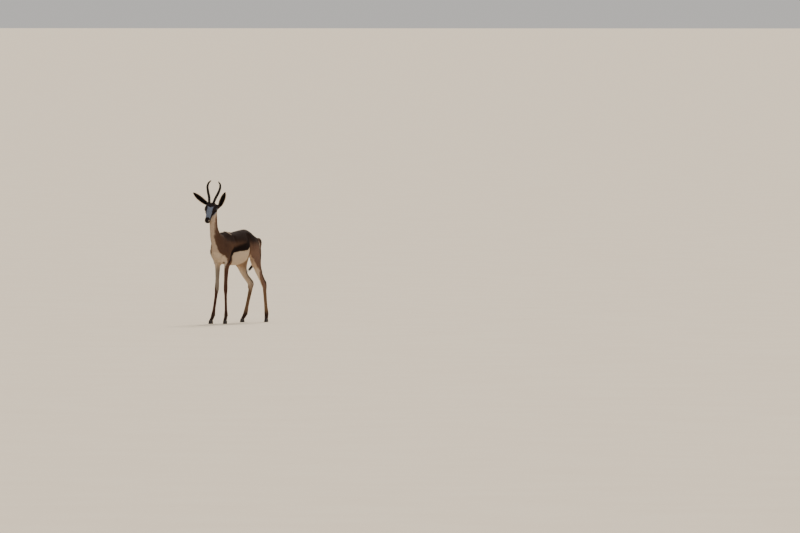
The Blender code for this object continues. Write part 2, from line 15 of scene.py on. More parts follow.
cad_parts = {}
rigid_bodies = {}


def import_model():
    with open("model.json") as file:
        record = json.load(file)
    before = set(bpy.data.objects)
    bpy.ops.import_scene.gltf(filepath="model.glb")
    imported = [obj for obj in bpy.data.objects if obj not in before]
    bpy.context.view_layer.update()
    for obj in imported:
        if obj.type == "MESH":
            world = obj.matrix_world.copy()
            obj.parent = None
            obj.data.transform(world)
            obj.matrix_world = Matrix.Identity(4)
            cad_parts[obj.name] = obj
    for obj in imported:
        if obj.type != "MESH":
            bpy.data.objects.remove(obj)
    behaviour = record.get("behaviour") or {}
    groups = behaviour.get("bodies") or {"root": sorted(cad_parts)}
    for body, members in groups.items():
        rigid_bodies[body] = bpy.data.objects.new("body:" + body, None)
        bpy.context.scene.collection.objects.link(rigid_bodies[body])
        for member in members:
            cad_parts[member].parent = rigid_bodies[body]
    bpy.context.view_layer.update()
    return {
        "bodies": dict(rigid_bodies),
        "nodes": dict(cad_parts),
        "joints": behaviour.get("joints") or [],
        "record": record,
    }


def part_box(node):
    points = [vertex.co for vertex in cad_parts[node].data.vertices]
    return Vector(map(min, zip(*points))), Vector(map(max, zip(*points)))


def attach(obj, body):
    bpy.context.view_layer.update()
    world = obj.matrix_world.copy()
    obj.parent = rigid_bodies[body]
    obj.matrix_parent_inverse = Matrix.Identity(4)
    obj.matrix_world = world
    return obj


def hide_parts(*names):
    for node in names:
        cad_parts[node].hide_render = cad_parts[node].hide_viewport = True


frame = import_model()
rng = np.random.default_rng(7)

# Grids: the cell of the body and of the head.
BODY_CELL = 0.0058
HEAD_CELL = 0.0018
BODY_BOX = ((-0.16, -0.62, 0.00), (0.16, 0.44, 0.96))
HEAD_BOX = ((-0.080, -0.600, 0.805), (0.080, -0.330, 1.060))
FINE_BELOW = 0.405

# The coat's depth over the skin.
DEPTH_BODY = 0.0042
DEPTH_NECK = 0.0030
DEPTH_LEG = 0.0003
DEPTH_FACE = 0.0009
DEPTH_CORONET = 0.0018

HEAD_YAW = math.radians(3)
HEAD_PITCH = math.radians(52)
HEAD_ROLL = math.radians(13.5)
BETWEEN_EYES = np.array((-0.003, -0.449, 0.953))
EYE_APART = 0.0355
EYE_RADIUS = 0.0135
LID_HALF_LENGTH = 0.0128
LID_HALF_HEIGHT = 0.0082
IRIS_HALF_LENGTH = 0.0105
IRIS_HALF_HEIGHT = 0.0060
EAR_LENGTH = 0.164
# How far the cup's axis lies inside the ear's own line.
EAR_SINK = 0.011

# Trunk: y, top of the back, underline, half width.
TRUNK = (
    (-0.372, 0.662, 0.590, 0.026),
    (-0.345, 0.702, 0.545, 0.050),
    (-0.285, 0.738, 0.508, 0.068),
    (-0.200, 0.750, 0.489, 0.079),
    (-0.100, 0.756, 0.482, 0.091),
    (0.000, 0.768, 0.487, 0.095),
    (0.080, 0.776, 0.508, 0.086),
    (0.140, 0.772, 0.545, 0.072),
    (0.200, 0.752, 0.580, 0.063),
    (0.255, 0.724, 0.605, 0.050),
    (0.300, 0.692, 0.625, 0.032),
)
BELLY_FULLNESS = 0.12

# Columns: height, x, y, half width across, half depth fore and aft.
NECK = (
    (0.560, 0.000, -0.245, 0.030, 0.050),
    (0.600, 0.000, -0.276, 0.038, 0.078),
    (0.650, 0.000, -0.310, 0.045, 0.092),
    (0.700, 0.000, -0.344, 0.044, 0.084),
    (0.745, 0.000, -0.376, 0.038, 0.063),
    (0.790, 0.000, -0.398, 0.032, 0.047),
    (0.840, 0.000, -0.407, 0.030, 0.043),
    (0.890, 0.001, -0.413, 0.030, 0.042),
    (0.930, 0.002, -0.420, 0.031, 0.040),
)
WITHERS = (
    (-0.300, 0.000, 0.708, 0.020, 0.022),
    (-0.225, 0.000, 0.734, 0.018, 0.024),
    (-0.150, 0.000, 0.732, 0.016, 0.020),
)
SHOULDER = (
    (0.605, 0.053, -0.292, 0.024, 0.048),
    (0.665, 0.045, -0.248, 0.024, 0.052),
    (0.722, 0.024, -0.205, 0.013, 0.036),
)
UPPER_ARM = (
    (0.520, 0.053, -0.250, 0.022, 0.036),
    (0.560, 0.054, -0.280, 0.025, 0.044),
    (0.600, 0.047, -0.302, 0.022, 0.036),
)
HAUNCH = (
    (0.490, 0.077, 0.168, 0.023, 0.038),
    (0.540, 0.066, 0.178, 0.031, 0.060),
    (0.600, 0.056, 0.180, 0.034, 0.078),
    (0.660, 0.046, 0.162, 0.032, 0.076),
    (0.718, 0.028, 0.130, 0.026, 0.048),
)
HAM = (
    (0.430, 0.073, 0.240, 0.016, 0.030),
    (0.505, 0.063, 0.238, 0.022, 0.040),
    (0.575, 0.052, 0.250, 0.029, 0.046),
    (0.635, 0.042, 0.256, 0.029, 0.046),
    (0.684, 0.028, 0.240, 0.022, 0.040),
)
FORE_LEG = {
    "left": (
        (0.024, 0.052, -0.304, 0.0145, 0.0175),
        (0.050, 0.051, -0.292, 0.0125, 0.0148),
        (0.076, 0.051, -0.285, 0.0134, 0.0164),
        (0.130, 0.051, -0.286, 0.0098, 0.0119),
        (0.235, 0.051, -0.290, 0.0104, 0.0125),
        (0.292, 0.051, -0.291, 0.0151, 0.0172),
        (0.370, 0.051, -0.287, 0.0138, 0.0172),
        (0.462, 0.053, -0.278, 0.0178, 0.0265),
        (0.530, 0.056, -0.252, 0.0240, 0.0420),
    ),
    "right": (
        (0.024, -0.059, -0.347, 0.0145, 0.0180),
        (0.050, -0.057, -0.326, 0.0136, 0.0172),
        (0.076, -0.056, -0.312, 0.0145, 0.0184),
        (0.130, -0.053, -0.299, 0.0106, 0.0132),
        (0.235, -0.048, -0.277, 0.0113, 0.0138),
        (0.292, -0.046, -0.267, 0.0163, 0.0186),
        (0.370, -0.043, -0.264, 0.0138, 0.0172),
        (0.462, -0.045, -0.256, 0.0178, 0.0265),
        (0.530, -0.054, -0.246, 0.0240, 0.0420),
    ),
}
HIND_LEG = {
    "left": (
        (0.024, 0.083, 0.349, 0.0145, 0.0175),
        (0.050, 0.082, 0.354, 0.0144, 0.0173),
        (0.076, 0.081, 0.357, 0.0156, 0.0195),
        (0.150, 0.078, 0.350, 0.0120, 0.0149),
        (0.262, 0.073, 0.342, 0.0129, 0.0181),
        (0.290, 0.072, 0.341, 0.0159, 0.0232),
        (0.318, 0.072, 0.327, 0.0152, 0.0370),
        (0.355, 0.074, 0.294, 0.0150, 0.0395),
        (0.402, 0.077, 0.246, 0.0170, 0.0430),
        (0.468, 0.080, 0.194, 0.0235, 0.0520),
        (0.520, 0.076, 0.172, 0.0280, 0.0560),
    ),
    "right": (
        (0.024, -0.070, 0.213, 0.0145, 0.0180),
        (0.050, -0.070, 0.245, 0.0151, 0.0218),
        (0.076, -0.069, 0.266, 0.0164, 0.0218),
        (0.150, -0.068, 0.297, 0.0125, 0.0166),
        (0.262, -0.065, 0.341, 0.0136, 0.0212),
        (0.290, -0.064, 0.343, 0.0165, 0.0300),
        (0.318, -0.064, 0.347, 0.0172, 0.0410),
        (0.355, -0.067, 0.311, 0.0165, 0.0500),
        (0.402, -0.073, 0.256, 0.0170, 0.0480),
        (0.468, -0.078, 0.205, 0.0235, 0.0530),
        (0.520, -0.076, 0.178, 0.0280, 0.0560),
    ),
}
# The row of a hind leg that lies at the point of its hock.
HOCK_ROW = 6
# The tail's solid core is thinner than the tail with its hair.
TAIL_CORE = 0.62
TAIL = (
    (0.422, -0.104, 0.355, 0.0050, 0.0050),
    (0.434, -0.090, 0.356, 0.0058, 0.0062),
    (0.452, -0.072, 0.357, 0.0078, 0.0078),
    (0.485, -0.046, 0.355, 0.0105, 0.0102),
    (0.535, -0.025, 0.346, 0.0095, 0.0100),
    (0.610, -0.008, 0.333, 0.0095, 0.0105),
    (0.655, 0.000, 0.318, 0.0110, 0.0150),
    (0.685, 0.000, 0.292, 0.0120, 0.0180),
)

# Head: along the face from poll to nose, then middle and half sizes across and up.
CRANIUM = (
    (-0.058, 0.000, -0.024, 0.028, 0.026),
    (-0.038, 0.000, -0.007, 0.036, 0.033),
    (-0.012, 0.000, -0.001, 0.039, 0.036),
    (0.014, 0.000, -0.003, 0.035, 0.034),
)
FACE = (
    (-0.010, 0.000, 0.000, 0.0375, 0.0345),
    (0.028, 0.000, -0.0055, 0.0310, 0.0315),
    (0.058, 0.000, -0.0115, 0.0255, 0.0275),
    (0.082, 0.000, -0.0155, 0.0238, 0.0240),
    (0.098, 0.000, -0.0172, 0.0243, 0.0215),
    (0.108, 0.000, -0.0185, 0.0208, 0.0180),
)
JAW = (
    (-0.045, 0.000, -0.044, 0.019, 0.014),
    (-0.015, 0.000, -0.050, 0.021, 0.0135),
    (0.028, 0.000, -0.046, 0.018, 0.0125),
    (0.065, 0.000, -0.041, 0.016, 0.0110),
    (0.092, 0.000, -0.0385, 0.0155, 0.0102),
    (0.101, 0.000, -0.0365, 0.0128, 0.0085),
)
CHEEK = (
    (-0.046, 0.022, -0.030, 0.012, 0.022),
    (-0.020, 0.025, -0.032, 0.013, 0.022),
    (0.025, 0.018, -0.030, 0.010, 0.016),
)
BROW = (
    (-0.022, 0.032, 0.018, 0.010, 0.010),
    (0.000, 0.0365, 0.017, 0.010, 0.010),
    (0.022, 0.031, 0.011, 0.009, 0.010),
)
CHEEKBONE = (
    (-0.030, 0.036, -0.012, 0.008, 0.010),
    (-0.004, 0.0375, -0.015, 0.009, 0.010),
    (0.028, 0.030, -0.014, 0.008, 0.010),
)
# Horn: across, along and up from between the eyes, then the radius.
HORN = (
    (0.0175, -0.023, 0.012, 0.0104),
    (0.0188, -0.043, 0.038, 0.0100),
    (0.0284, -0.079, 0.060, 0.0101),
    (0.0432, -0.112, 0.083, 0.0098),
    (0.0532, -0.140, 0.106, 0.0095),
    (0.0540, -0.159, 0.118, 0.0088),
    (0.0490, -0.176, 0.126, 0.0074),
    (0.0375, -0.187, 0.136, 0.0053),
    (0.0305, -0.192, 0.142, 0.0020),
)
HORN_SIDES = 24
# How many rings a horn has, and how far they stand out as a share of its radius.
HORN_RINGS = 15
HORN_SWELL = 0.085
# Ear along its length: share of the length, half width round the cup, cup radius, thickness.
EAR = (
    (0.00, 0.0140, 0.0090, 0.0046),
    (0.10, 0.0200, 0.0118, 0.0036),
    (0.22, 0.0258, 0.0158, 0.0030),
    (0.38, 0.0284, 0.0196, 0.0026),
    (0.55, 0.0270, 0.0215, 0.0024),
    (0.70, 0.0235, 0.0225, 0.0022),
    (0.84, 0.0160, 0.0220, 0.0020),
    (0.94, 0.0080, 0.0210, 0.0018),
    (1.00, 0.0018, 0.0200, 0.0016),
)
# Outline of one claw seen from above: along towards the toe, outwards from the cleft.
CLAW = (
    (-0.0190, 0.0035),
    (-0.0060, 0.0010),
    (0.0140, 0.0010),
    (0.0275, 0.0028),
    (0.0290, 0.0058),
    (0.0210, 0.0102),
    (0.0090, 0.0138),
    (-0.0050, 0.0152),
    (-0.0150, 0.0132),
    (-0.0200, 0.0085),
)
CORONET = 0.026
CORONET_SLOPE = 0.25
# Rings of a claw: share of its height, and how far each lies in; the ones between are growth rings.
GROWTH_RINGS = tuple((tenth / 10, 0.0003 if tenth % 2 == 0 else 0.0) for tenth in range(2, 10))
CLAW_RINGS = (
    (0.0, 0.0012), (0.012, 0.0005), (0.04, 0.0001), (0.12, 0.0),
    *GROWTH_RINGS, (0.97, 0.0006), (1.0, 0.0016),
)
# Rings of a dewclaw: share of its length and radius.
DEWCLAW_RINGS = (
    (0.0, 0.0040), (0.25, 0.0045), (0.5, 0.0042), (0.75, 0.0032), (0.93, 0.0018), (1.0, 0.0006),
)
DEWCLAW_SIDES = 12
TOE_OUT = math.radians(4)

# Nostril and mouth, across, up and along the face.
NOSTRIL = (
    (0.0052, -0.0240, 0.1245),
    (0.0085, -0.0192, 0.1240),
    (0.0120, -0.0137, 0.1210),
    (0.0180, -0.0137, 0.1160),
)
MOUTH = (
    (0.0, -0.0338, 0.1280),
    (0.0, -0.0336, 0.1110),
    (0.0, -0.0312, 0.0920),
    (0.0, -0.0268, 0.0740),
)

# Single rounded masses of the left side or the middle: centre, then radii. NOSE_WING is in the head's
# frame, as across, up and along.
BREAST = ((0.0, -0.338, 0.605), (0.046, 0.040, 0.060))
WITHERS_FRONT = ((0.0, -0.268, 0.748), (0.012, 0.022, 0.013))
PIN_BONE = ((0.046, 0.289, 0.668), (0.022, 0.024, 0.034))
NOSE_WING = ((0.0130, -0.0107, 0.1105), (0.0072, 0.0065, 0.0080))
# The elbow and the hock's point: how far behind and above a row of their leg, then radii.
ELBOW = ((0.034, 0.045), (0.014, 0.017, 0.022))
HOCK_POINT = ((0.018, 0.006), (0.009, 0.010, 0.022))
# Radii of the swellings under an ear and a horn.
EAR_BASE = 0.0105
HORN_BASE = 0.0128

# Grooves of the head's left side, in the head's frame: path, width, and depth, which is below 0 for
# a ridge. They are: behind the nostril, beside the bridge of the nose, the temple, the cheekbone,
# the front of the chewing muscle, and the hollow behind the mouth.
HEAD_FOLDS = (
    (((0.0190, -0.0202, 0.1120), (0.0200, -0.0142, 0.1000)), 0.0040, 0.0014),
    (((0.0200, 0.0080, 0.0260), (0.0200, -0.0010, 0.0600), (0.0190, -0.0060, 0.0880)), 0.0050, 0.0012),
    (((0.0330, 0.0160, -0.0400), (0.0300, 0.0230, -0.0280)), 0.0080, 0.0028),
    (((0.0400, -0.0080, -0.0160), (0.0400, -0.0140, -0.0400)), 0.0055, -0.0016),
    (((0.0330, -0.0220, 0.0240), (0.0330, -0.0400, 0.0120), (0.0280, -0.0520, -0.0080)), 0.0050, 0.0018),
    (((0.0230, -0.0340, 0.0500), (0.0240, -0.0400, 0.0200)), 0.0045, 0.0010),
)
NOSE_WING_RIDGE = ((0.0050, -0.0102, 0.1220), (0.0120, -0.0052, 0.1190), (0.0200, -0.0102, 0.1140))
NOSTRIL_HOLE = ((0.0104, -0.0170, 0.1245), (0.0030, 0.0034, 0.0056))
LIP_CLEFT = ((0.0, -0.0242, 0.1275), (0.0, -0.0292, 0.1250), (0.0, -0.0345, 0.1200))
BROW_HOLLOW = ((0.0, 0.0330, -0.0180), (0.0, 0.0290, 0.0080))
EYE_CORNER = ((0.0130, -0.0015, 0.0085), (0.0205, -0.0055, 0.0055), (0.0260, -0.0085, 0.0030))

# The same for the body's left side, as x, y and height. Neck: the windpipe's edge, and the nape's.
NECK_FOLDS = (
    (((0.027, -0.438, 0.850), (0.030, -0.424, 0.780), (0.036, -0.402, 0.710), (0.034, -0.372, 0.640)),
     0.009, 0.0030),
    (((0.026, -0.392, 0.860), (0.030, -0.372, 0.790), (0.036, -0.330, 0.735)), 0.010, 0.0022),
)
# Shoulder: the blade's ridge, its top, behind it, before it, and above the elbow.
SHOULDER_FOLDS = (
    (((0.014, -0.205, 0.748), (0.036, -0.232, 0.700), (0.060, -0.264, 0.620)), 0.009, -0.0034),
    (((0.004, -0.218, 0.758), (0.022, -0.181, 0.748), (0.037, -0.165, 0.734)), 0.008, -0.0050),
    (((0.050, -0.152, 0.715), (0.080, -0.158, 0.640), (0.078, -0.192, 0.560)), 0.014, 0.0046),
    (((0.034, -0.290, 0.715), (0.050, -0.322, 0.650), (0.064, -0.338, 0.600)), 0.011, 0.0030),
    (((0.076, -0.300, 0.590), (0.080, -0.262, 0.560), (0.076, -0.228, 0.535)), 0.008, 0.0026),
)
# Hind part: the hip bone, the hollow of the flank, the flank's fold and the groove behind it,
# the groove between the thigh's muscles, and one down the haunch.
HIND_FOLDS = (
    (((0.050, 0.088, 0.744), (0.052, 0.100, 0.738)), 0.016, -0.0050),
    (((0.072, 0.045, 0.715), (0.078, 0.070, 0.670)), 0.024, 0.0050),
    (((0.078, 0.062, 0.640), (0.082, 0.084, 0.590), (0.080, 0.096, 0.545)), 0.010, -0.0030),
    (((0.074, 0.090, 0.640), (0.084, 0.106, 0.580)), 0.009, 0.0034),
    (((0.062, 0.262, 0.670), (0.086, 0.228, 0.580), (0.088, 0.232, 0.500), (0.086, 0.258, 0.430)),
     0.008, 0.0032),
    (((0.060, 0.150, 0.715), (0.086, 0.160, 0.620), (0.098, 0.170, 0.540)), 0.014, 0.0020),
)
# Ribs: how many, the first one's y, the step to the next, and one rib as across, behind its top, height.
RIBS = 7
FIRST_RIB = -0.125
RIB_STEP = 0.029
RIB = ((0.072, 0.0, 0.705), (0.094, 0.016, 0.620), (0.090, 0.034, 0.545))
# Heights of the groove between the two bones of the lower thigh.
GASKIN_HEIGHTS = (0.335, 0.365, 0.400, 0.440)
# Grooves down the shanks end at these heights; the fetlock's two creases: height and depth.
FORE_SHANK_ENDS = (0.105, 0.245)
HIND_SHANK_ENDS = (0.110, 0.262)
FETLOCK_CREASES = ((0.060, 0.0010), (0.094, 0.0008))

# The planes where the head meets the neck and the neck meets the trunk: a point and the way up.
THROAT = np.array((0.0, -0.410, 0.910))
ABOVE_THROAT = np.array((0.0, -0.795, 0.607))
NECK_BASE = np.array((0.0, -0.335, 0.705))
ABOVE_NECK_BASE = np.array((0.0, -0.722, 0.692))
# Where the body's mesh and the head's are sewn together, and half the gap between them.
SEAM_BELOW_THROAT = 0.020
SEAM_HALF_WIDTH = 0.0015


# Colour, from the usual 0 to 255 steps to linear light.
def tone(red, green, blue):
    steps = np.array((red, green, blue)) / 255
    return np.where(steps <= 0.04045, steps / 12.92, ((steps + 0.055) / 1.055) ** 2.4)


COAT = tone(126, 94, 73)
HAUNCH_COAT = tone(131, 101, 84)
SHOULDER_COAT = tone(97, 71, 56)
# Painted shade: the coat where it lies in its own shade, over the back, the top of the shoulders and the
# nape.
SHADED_COAT = tone(47, 32, 26)
FLANK_COAT = tone(84, 61, 47)
FAWN = tone(136, 108, 88)
CREAM = tone(203, 180, 156)
LEG_PALE = tone(150, 137, 121)
WHITE = tone(218, 203, 184)
# The white of chest and belly, painted darker and warmer than the rump's white: painted shade with warm
# light thrown up from the ground.
BELLY_WHITE = tone(209, 189, 166)
THIGH_PALE = tone(193, 163, 135)
CHOCOLATE = tone(25, 14, 11)
RUMP_EDGE = tone(58, 36, 27)
FORE_SHANK = tone(80, 50, 38)
HIND_SHANK = tone(127, 98, 72)
PASTERN = tone(60, 42, 34)
# White in life, and blue-grey in the photo, where it is in its own shade.
FACE_PALE = tone(120, 129, 150)
FOREHEAD = tone(43, 36, 37)
MUZZLE = tone(33, 26, 26)
LID = tone(18, 13, 12)
# Painted shade: the inside of the ear, near-black, over its paler hair and skin.
SHADED_EAR_INSIDE = tone(24, 18, 18)
HORN_DARK = tone(20, 16, 15)
HOOF_DARK = tone(40, 33, 29)
# Pupil, iris, its rim and its edge: share of the way out, and the colour in linear light.
IRIS = (
    (0.42, (0.002, 0.002, 0.003)),
    (0.52, (0.034, 0.015, 0.008)),
    (0.92, (0.020, 0.009, 0.005)),
    (1.0, (0.004, 0.003, 0.003)),
)
# The skin under the locks is darker than they are.
SKIN_SHADE = 0.85


def unit(vector):
    vector = np.asarray(vector, float)
    return vector / np.linalg.norm(vector, axis=-1, keepdims=True)


def smooth_min(a, b, k):
    h = np.maximum(k - np.abs(a - b), 0.0) / k
    return np.minimum(a, b) - h * h * k * 0.25


def ramp(value, start, stop):
    """0 before start, 1 after stop, with soft ends; start may be the larger."""
    t = np.clip((value - start) / (stop - start), 0, 1)
    return t * t * (3 - 2 * t)


def read_off(rows, where, *columns):
    """Columns of a table at some places along its first column."""
    rows = np.asarray(rows, float)
    return [np.interp(where, rows[:, 0], rows[:, k]) for k in columns]


def spline(rows, steps):
    """A smooth curve through every row, whatever the columns hold."""
    rows = np.asarray(rows, float)
    ends = np.vstack((2 * rows[0] - rows[1], rows, 2 * rows[-1] - rows[-2]))
    dense = []
    for before, start, stop, after in zip(ends[:-3], ends[1:-2], ends[2:-1], ends[3:]):
        for t in np.arange(steps) / steps:
            bend = 2 * before - 5 * start + 4 * stop - after
            twist = 3 * start - before - 3 * stop + after
            dense.append(0.5 * (2 * start + (stop - before) * t + bend * t * t + twist * t ** 3))
    dense.append(rows[-1])
    return np.array(dense)


class Frame:
    """An origin and three axes; a loft runs along the third."""

    def __init__(self, origin, first, second, along):
        self.origin = np.asarray(origin, float)
        self.axes = np.array((first, second, along), float)

    def local(self, points):
        return (points - self.origin) @ self.axes.T

    def world(self, first, second, along):
        return self.origin + np.array((first, second, along)) @ self.axes


def head_axes():
    """The head's own left, forward and up."""
    heading = np.array((math.sin(HEAD_YAW), -math.cos(HEAD_YAW), 0.0))
    sky = np.array((0.0, 0.0, 1.0))
    level_left = np.cross(sky, heading)
    forward = math.cos(HEAD_PITCH) * heading - math.sin(HEAD_PITCH) * sky
    level_up = math.sin(HEAD_PITCH) * heading + math.cos(HEAD_PITCH) * sky
    left = math.cos(HEAD_ROLL) * level_left - math.sin(HEAD_ROLL) * level_up
    up = math.cos(HEAD_ROLL) * level_up + math.sin(HEAD_ROLL) * level_left
    return left, forward, up


LEFT, FORWARD, UP = head_axes()
UPRIGHT = Frame((0, 0, 0), (1, 0, 0), (0, 1, 0), (0, 0, 1))
LENGTHWISE = Frame((0, 0, 0), (1, 0, 0), (0, 0, 1), (0, 1, 0))
HEAD = Frame(BETWEEN_EYES, LEFT, UP, FORWARD)
SIDES = ((1, "left"), (-1, "right"))
# Each ear: where its root is on the head, the way its tip points, the way its cup opens,
# and its sideways bow.
EARS = {
    "left": (
        HEAD.world(0.044, -0.029, -0.052), unit((0.606, -0.350, 0.710)),
        (0.304, -0.701, -0.599), 0.0075,
    ),
    "right": (
        HEAD.world(-0.038, -0.022, -0.056), unit((-0.497, -0.619, 0.570)),
        (0.380, -0.930, -0.300), 0.0,
    ),
}


def eye_centre(side):
    return HEAD.world(side * EYE_APART, 0.001, 0.001)


def eye_frame(side):
    """Across the lids, up, and out of the head."""
    outward = unit(side * 0.92 * LEFT + 0.36 * FORWARD + 0.10 * UP)
    across = unit(FORWARD - np.dot(FORWARD, outward) * outward)
    return Frame(eye_centre(side), across, np.cross(outward, across) * side, outward)


low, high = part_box("eye_left")
SHIFT = np.array((low + high) / 2) - eye_centre(1)


class Shape:
    """One change to the field of distances: the box it works in, and the change."""

    def __init__(self, low, high, change):
        self.low = np.asarray(low, float)
        self.high = np.asarray(high, float)
        self.change = change


def mass(distance, low, high, blend):
    """A rounded mass that joins the rest with a soft fillet."""
    margin = blend + 0.012
    return Shape(np.asarray(low) - margin, np.asarray(high) + margin,
                 lambda points, values: smooth_min(values, distance(points), blend))


def hollow(distance, low, high, blend):
    """The same, taken away."""
    return Shape(low, high, lambda points, values: -smooth_min(-values, distance(points), blend))


def loft(rows, frame=UPRIGHT, blend=0.02, power=2.0, fullness=0.0):
    """Rows: along, middle first, middle second, half size first, half size second."""
    dense = spline(sorted(rows), 12)
    along = dense[:, 0]
    lean = np.hypot(np.gradient(dense[:, 1], along), np.gradient(dense[:, 2], along))

    def distance(points):
        p = frame.local(points)
        t = np.clip(p[:, 2], along[0], along[-1])
        middle_1, middle_2, half_1, half_2 = read_off(dense, t, 1, 2, 3, 4)
        u = np.abs(p[:, 0] - middle_1)
        v = p[:, 1] - middle_2
        half_1 = half_1 * (1 - fullness * np.clip(v / half_2, -1, 1))
        cap = np.minimum(half_1, half_2)
        over = np.abs(p[:, 2] - t)
        v = np.abs(v)
        terms = ((u / half_1, half_1), (v / half_2, half_2), (over / cap, cap))
        reach = sum(ratio ** power for ratio, size in terms) ** (1 / power)
        slope = np.sqrt(sum((ratio ** (power - 1) / size) ** 2 for ratio, size in terms))
        slope = slope / np.maximum(reach, 1e-6) ** (power - 1) + 1e-9
        return (reach - 1) / slope / np.sqrt(1 + np.interp(t, along, lean) ** 2)

    corners = []
    for row in dense:
        for first in (-1, 1):
            for second in (-1, 1):
                across = row[1] + first * row[3] * (1 + fullness)
                corners.append(frame.world(across, row[2] + second * row[4], row[0]))
    margin = dense[:, 3:].max(axis=1)[[0, -1]].max()
    return mass(distance, np.min(corners, axis=0) - margin, np.max(corners, axis=0) + margin, blend)


def ball(centre, radii, frame=UPRIGHT, blend=0.02):
    """An ellipsoid with its radii along the frame's axes."""
    centre = np.asarray(centre, float)
    radii = np.broadcast_to(np.asarray(radii, float), 3)

    def distance(points):
        p = (points - centre) @ frame.axes.T
        reach = np.linalg.norm(p / radii, axis=1)
        slope = np.linalg.norm(p / radii ** 2, axis=1) + 1e-9
        return reach * (reach - 1) / slope

    return mass(distance, centre - radii.max(), centre + radii.max(), blend)


def hollow_ball(centre, radii, frame, blend):
    """An ellipsoid taken away."""
    filled = ball(centre, radii, frame, blend)
    return Shape(filled.low, filled.high, lambda points, values: -filled.change(points, -values))


def path_distance(points, path):
    nearest = np.full(len(points), 1.0)
    for start, stop in zip(path[:-1], path[1:]):
        run = stop - start
        share = np.clip((points - start) @ run / (run @ run), 0, 1)
        nearest = np.minimum(nearest, np.linalg.norm(points - start - share[:, None] * run, axis=1))
    return nearest


def fold(path, width, depth, frame=None, seen_along=None, reach_along=0.03):
    """A groove of the given depth along a path, or a ridge where the depth is negative.

    Drawn as seen along a direction, it is pressed into whatever lies before or behind the path.
    """
    path = np.array([frame.world(*point) if frame else point for point in path], float)
    if len(path) > 2:
        path = spline(path, 3)
    reach = 2.6 * width

    def pressed(points):
        return points if seen_along is None else points - (points @ seen_along)[:, None] * seen_along

    margin = reach if seen_along is None else reach + reach_along * np.abs(seen_along)
    flat = pressed(path)

    def change(points, values):
        return values + depth * np.exp(-(path_distance(pressed(points), flat) / width) ** 2)

    return Shape(path.min(axis=0) - margin, path.max(axis=0) + margin, change)


def mirrored(rows, side):
    """The same rows for the animal's left (1) or right (-1)."""
    return [(row[0], side * row[1], *row[2:]) for row in rows]


def sided(points, side):
    """The same points for the animal's left (1) or right (-1)."""
    return [(side * across, *rest) for across, *rest in points]


def behind_row(row, place, blend):
    """A mass behind and above one row of a leg."""
    (behind, above), radii = place
    height, x, y = row[:3]
    return ball((x, y + behind, height + above), radii, blend=blend)


def body_masses():
    trunk = [(y, 0, (top + bottom) / 2, half, (top - bottom) / 2) for y, top, bottom, half in TRUNK]
    shapes = [
        loft(trunk, LENGTHWISE, 0.02, fullness=BELLY_FULLNESS),
        loft(WITHERS, LENGTHWISE, 0.03),
        loft(NECK, blend=0.04),
        ball(*BREAST, blend=0.04),
        ball(*WITHERS_FRONT, blend=0.012),
    ]
    (across, behind, up), radii = PIN_BONE
    for side, name in SIDES:
        for rows, blend in ((SHOULDER, 0.03), (UPPER_ARM, 0.025), (HAUNCH, 0.03), (HAM, 0.03)):
            shapes.append(loft(mirrored(rows, side), blend=blend))
        shapes.append(loft(FORE_LEG[name], blend=0.015))
        shapes.append(loft(HIND_LEG[name], blend=0.02))
        shapes.append(behind_row(FORE_LEG[name][-2], ELBOW, 0.02))
        shapes.append(behind_row(HIND_LEG[name][HOCK_ROW], HOCK_POINT, 0.012))
        shapes.append(ball((side * across, behind, up), radii, blend=0.03))
    dock = [(z, x, y, TAIL_CORE * half_x, TAIL_CORE * half_y) for z, x, y, half_x, half_y in TAIL]
    shapes.append(loft(dock, blend=0.01))
    return shapes


def head_masses():
    shapes = [
        loft(CRANIUM, HEAD, 0.02),
        loft(FACE, HEAD, 0.012, power=2.25),
        loft(JAW, HEAD, 0.014),
    ]
    for side, name in SIDES:
        for rows, blend in ((CHEEK, 0.02), (BROW, 0.012), (CHEEKBONE, 0.012)):
            shapes.append(loft(mirrored(rows, side), HEAD, blend))
        root, tip = EARS[name][:2]
        shapes.append(ball(root, EAR_BASE, blend=0.032))
        shapes.append(ball(root + 0.007 * tip, EAR_BASE, blend=0.012))
        across, along, up = HORN[0][:3]
        shapes.append(ball(HEAD.world(side * across, up + 0.012, along - 0.006), HORN_BASE, blend=0.010))
        (across, up, along), radii = NOSE_WING
        shapes.append(ball(HEAD.world(side * across, up, along), radii, HEAD, 0.008))
    return shapes


def lids(side):
    """The lids' swelling over the eyeball and the almond opening between them."""
    eye = eye_frame(side)
    arc = (LID_HALF_LENGTH ** 2 + LID_HALF_HEIGHT ** 2) / (2 * LID_HALF_HEIGHT)
    off = arc - LID_HALF_HEIGHT

    def opening(points):
        p = eye.local(points)
        upper = np.hypot(p[:, 0], p[:, 1] + off) - arc
        lower = np.hypot(p[:, 0], p[:, 1] - off) - arc
        return np.maximum(np.maximum(upper, lower), 0.0035 - p[:, 2])

    reach = 0.022
    swelling = ball(eye.origin, EYE_RADIUS + 0.0024, blend=0.006)
    return [swelling, hollow(opening, eye.origin - reach, eye.origin + reach, 0.0016)]


def eye_arc(start, stop, count, half_length, half_height, raised, out):
    """Part of an oval round an eye, between two angles, in the eye's own frame."""
    angles = np.linspace(start, stop, count)
    return [(half_length * math.cos(a), raised + half_height * math.sin(a), out) for a in angles]


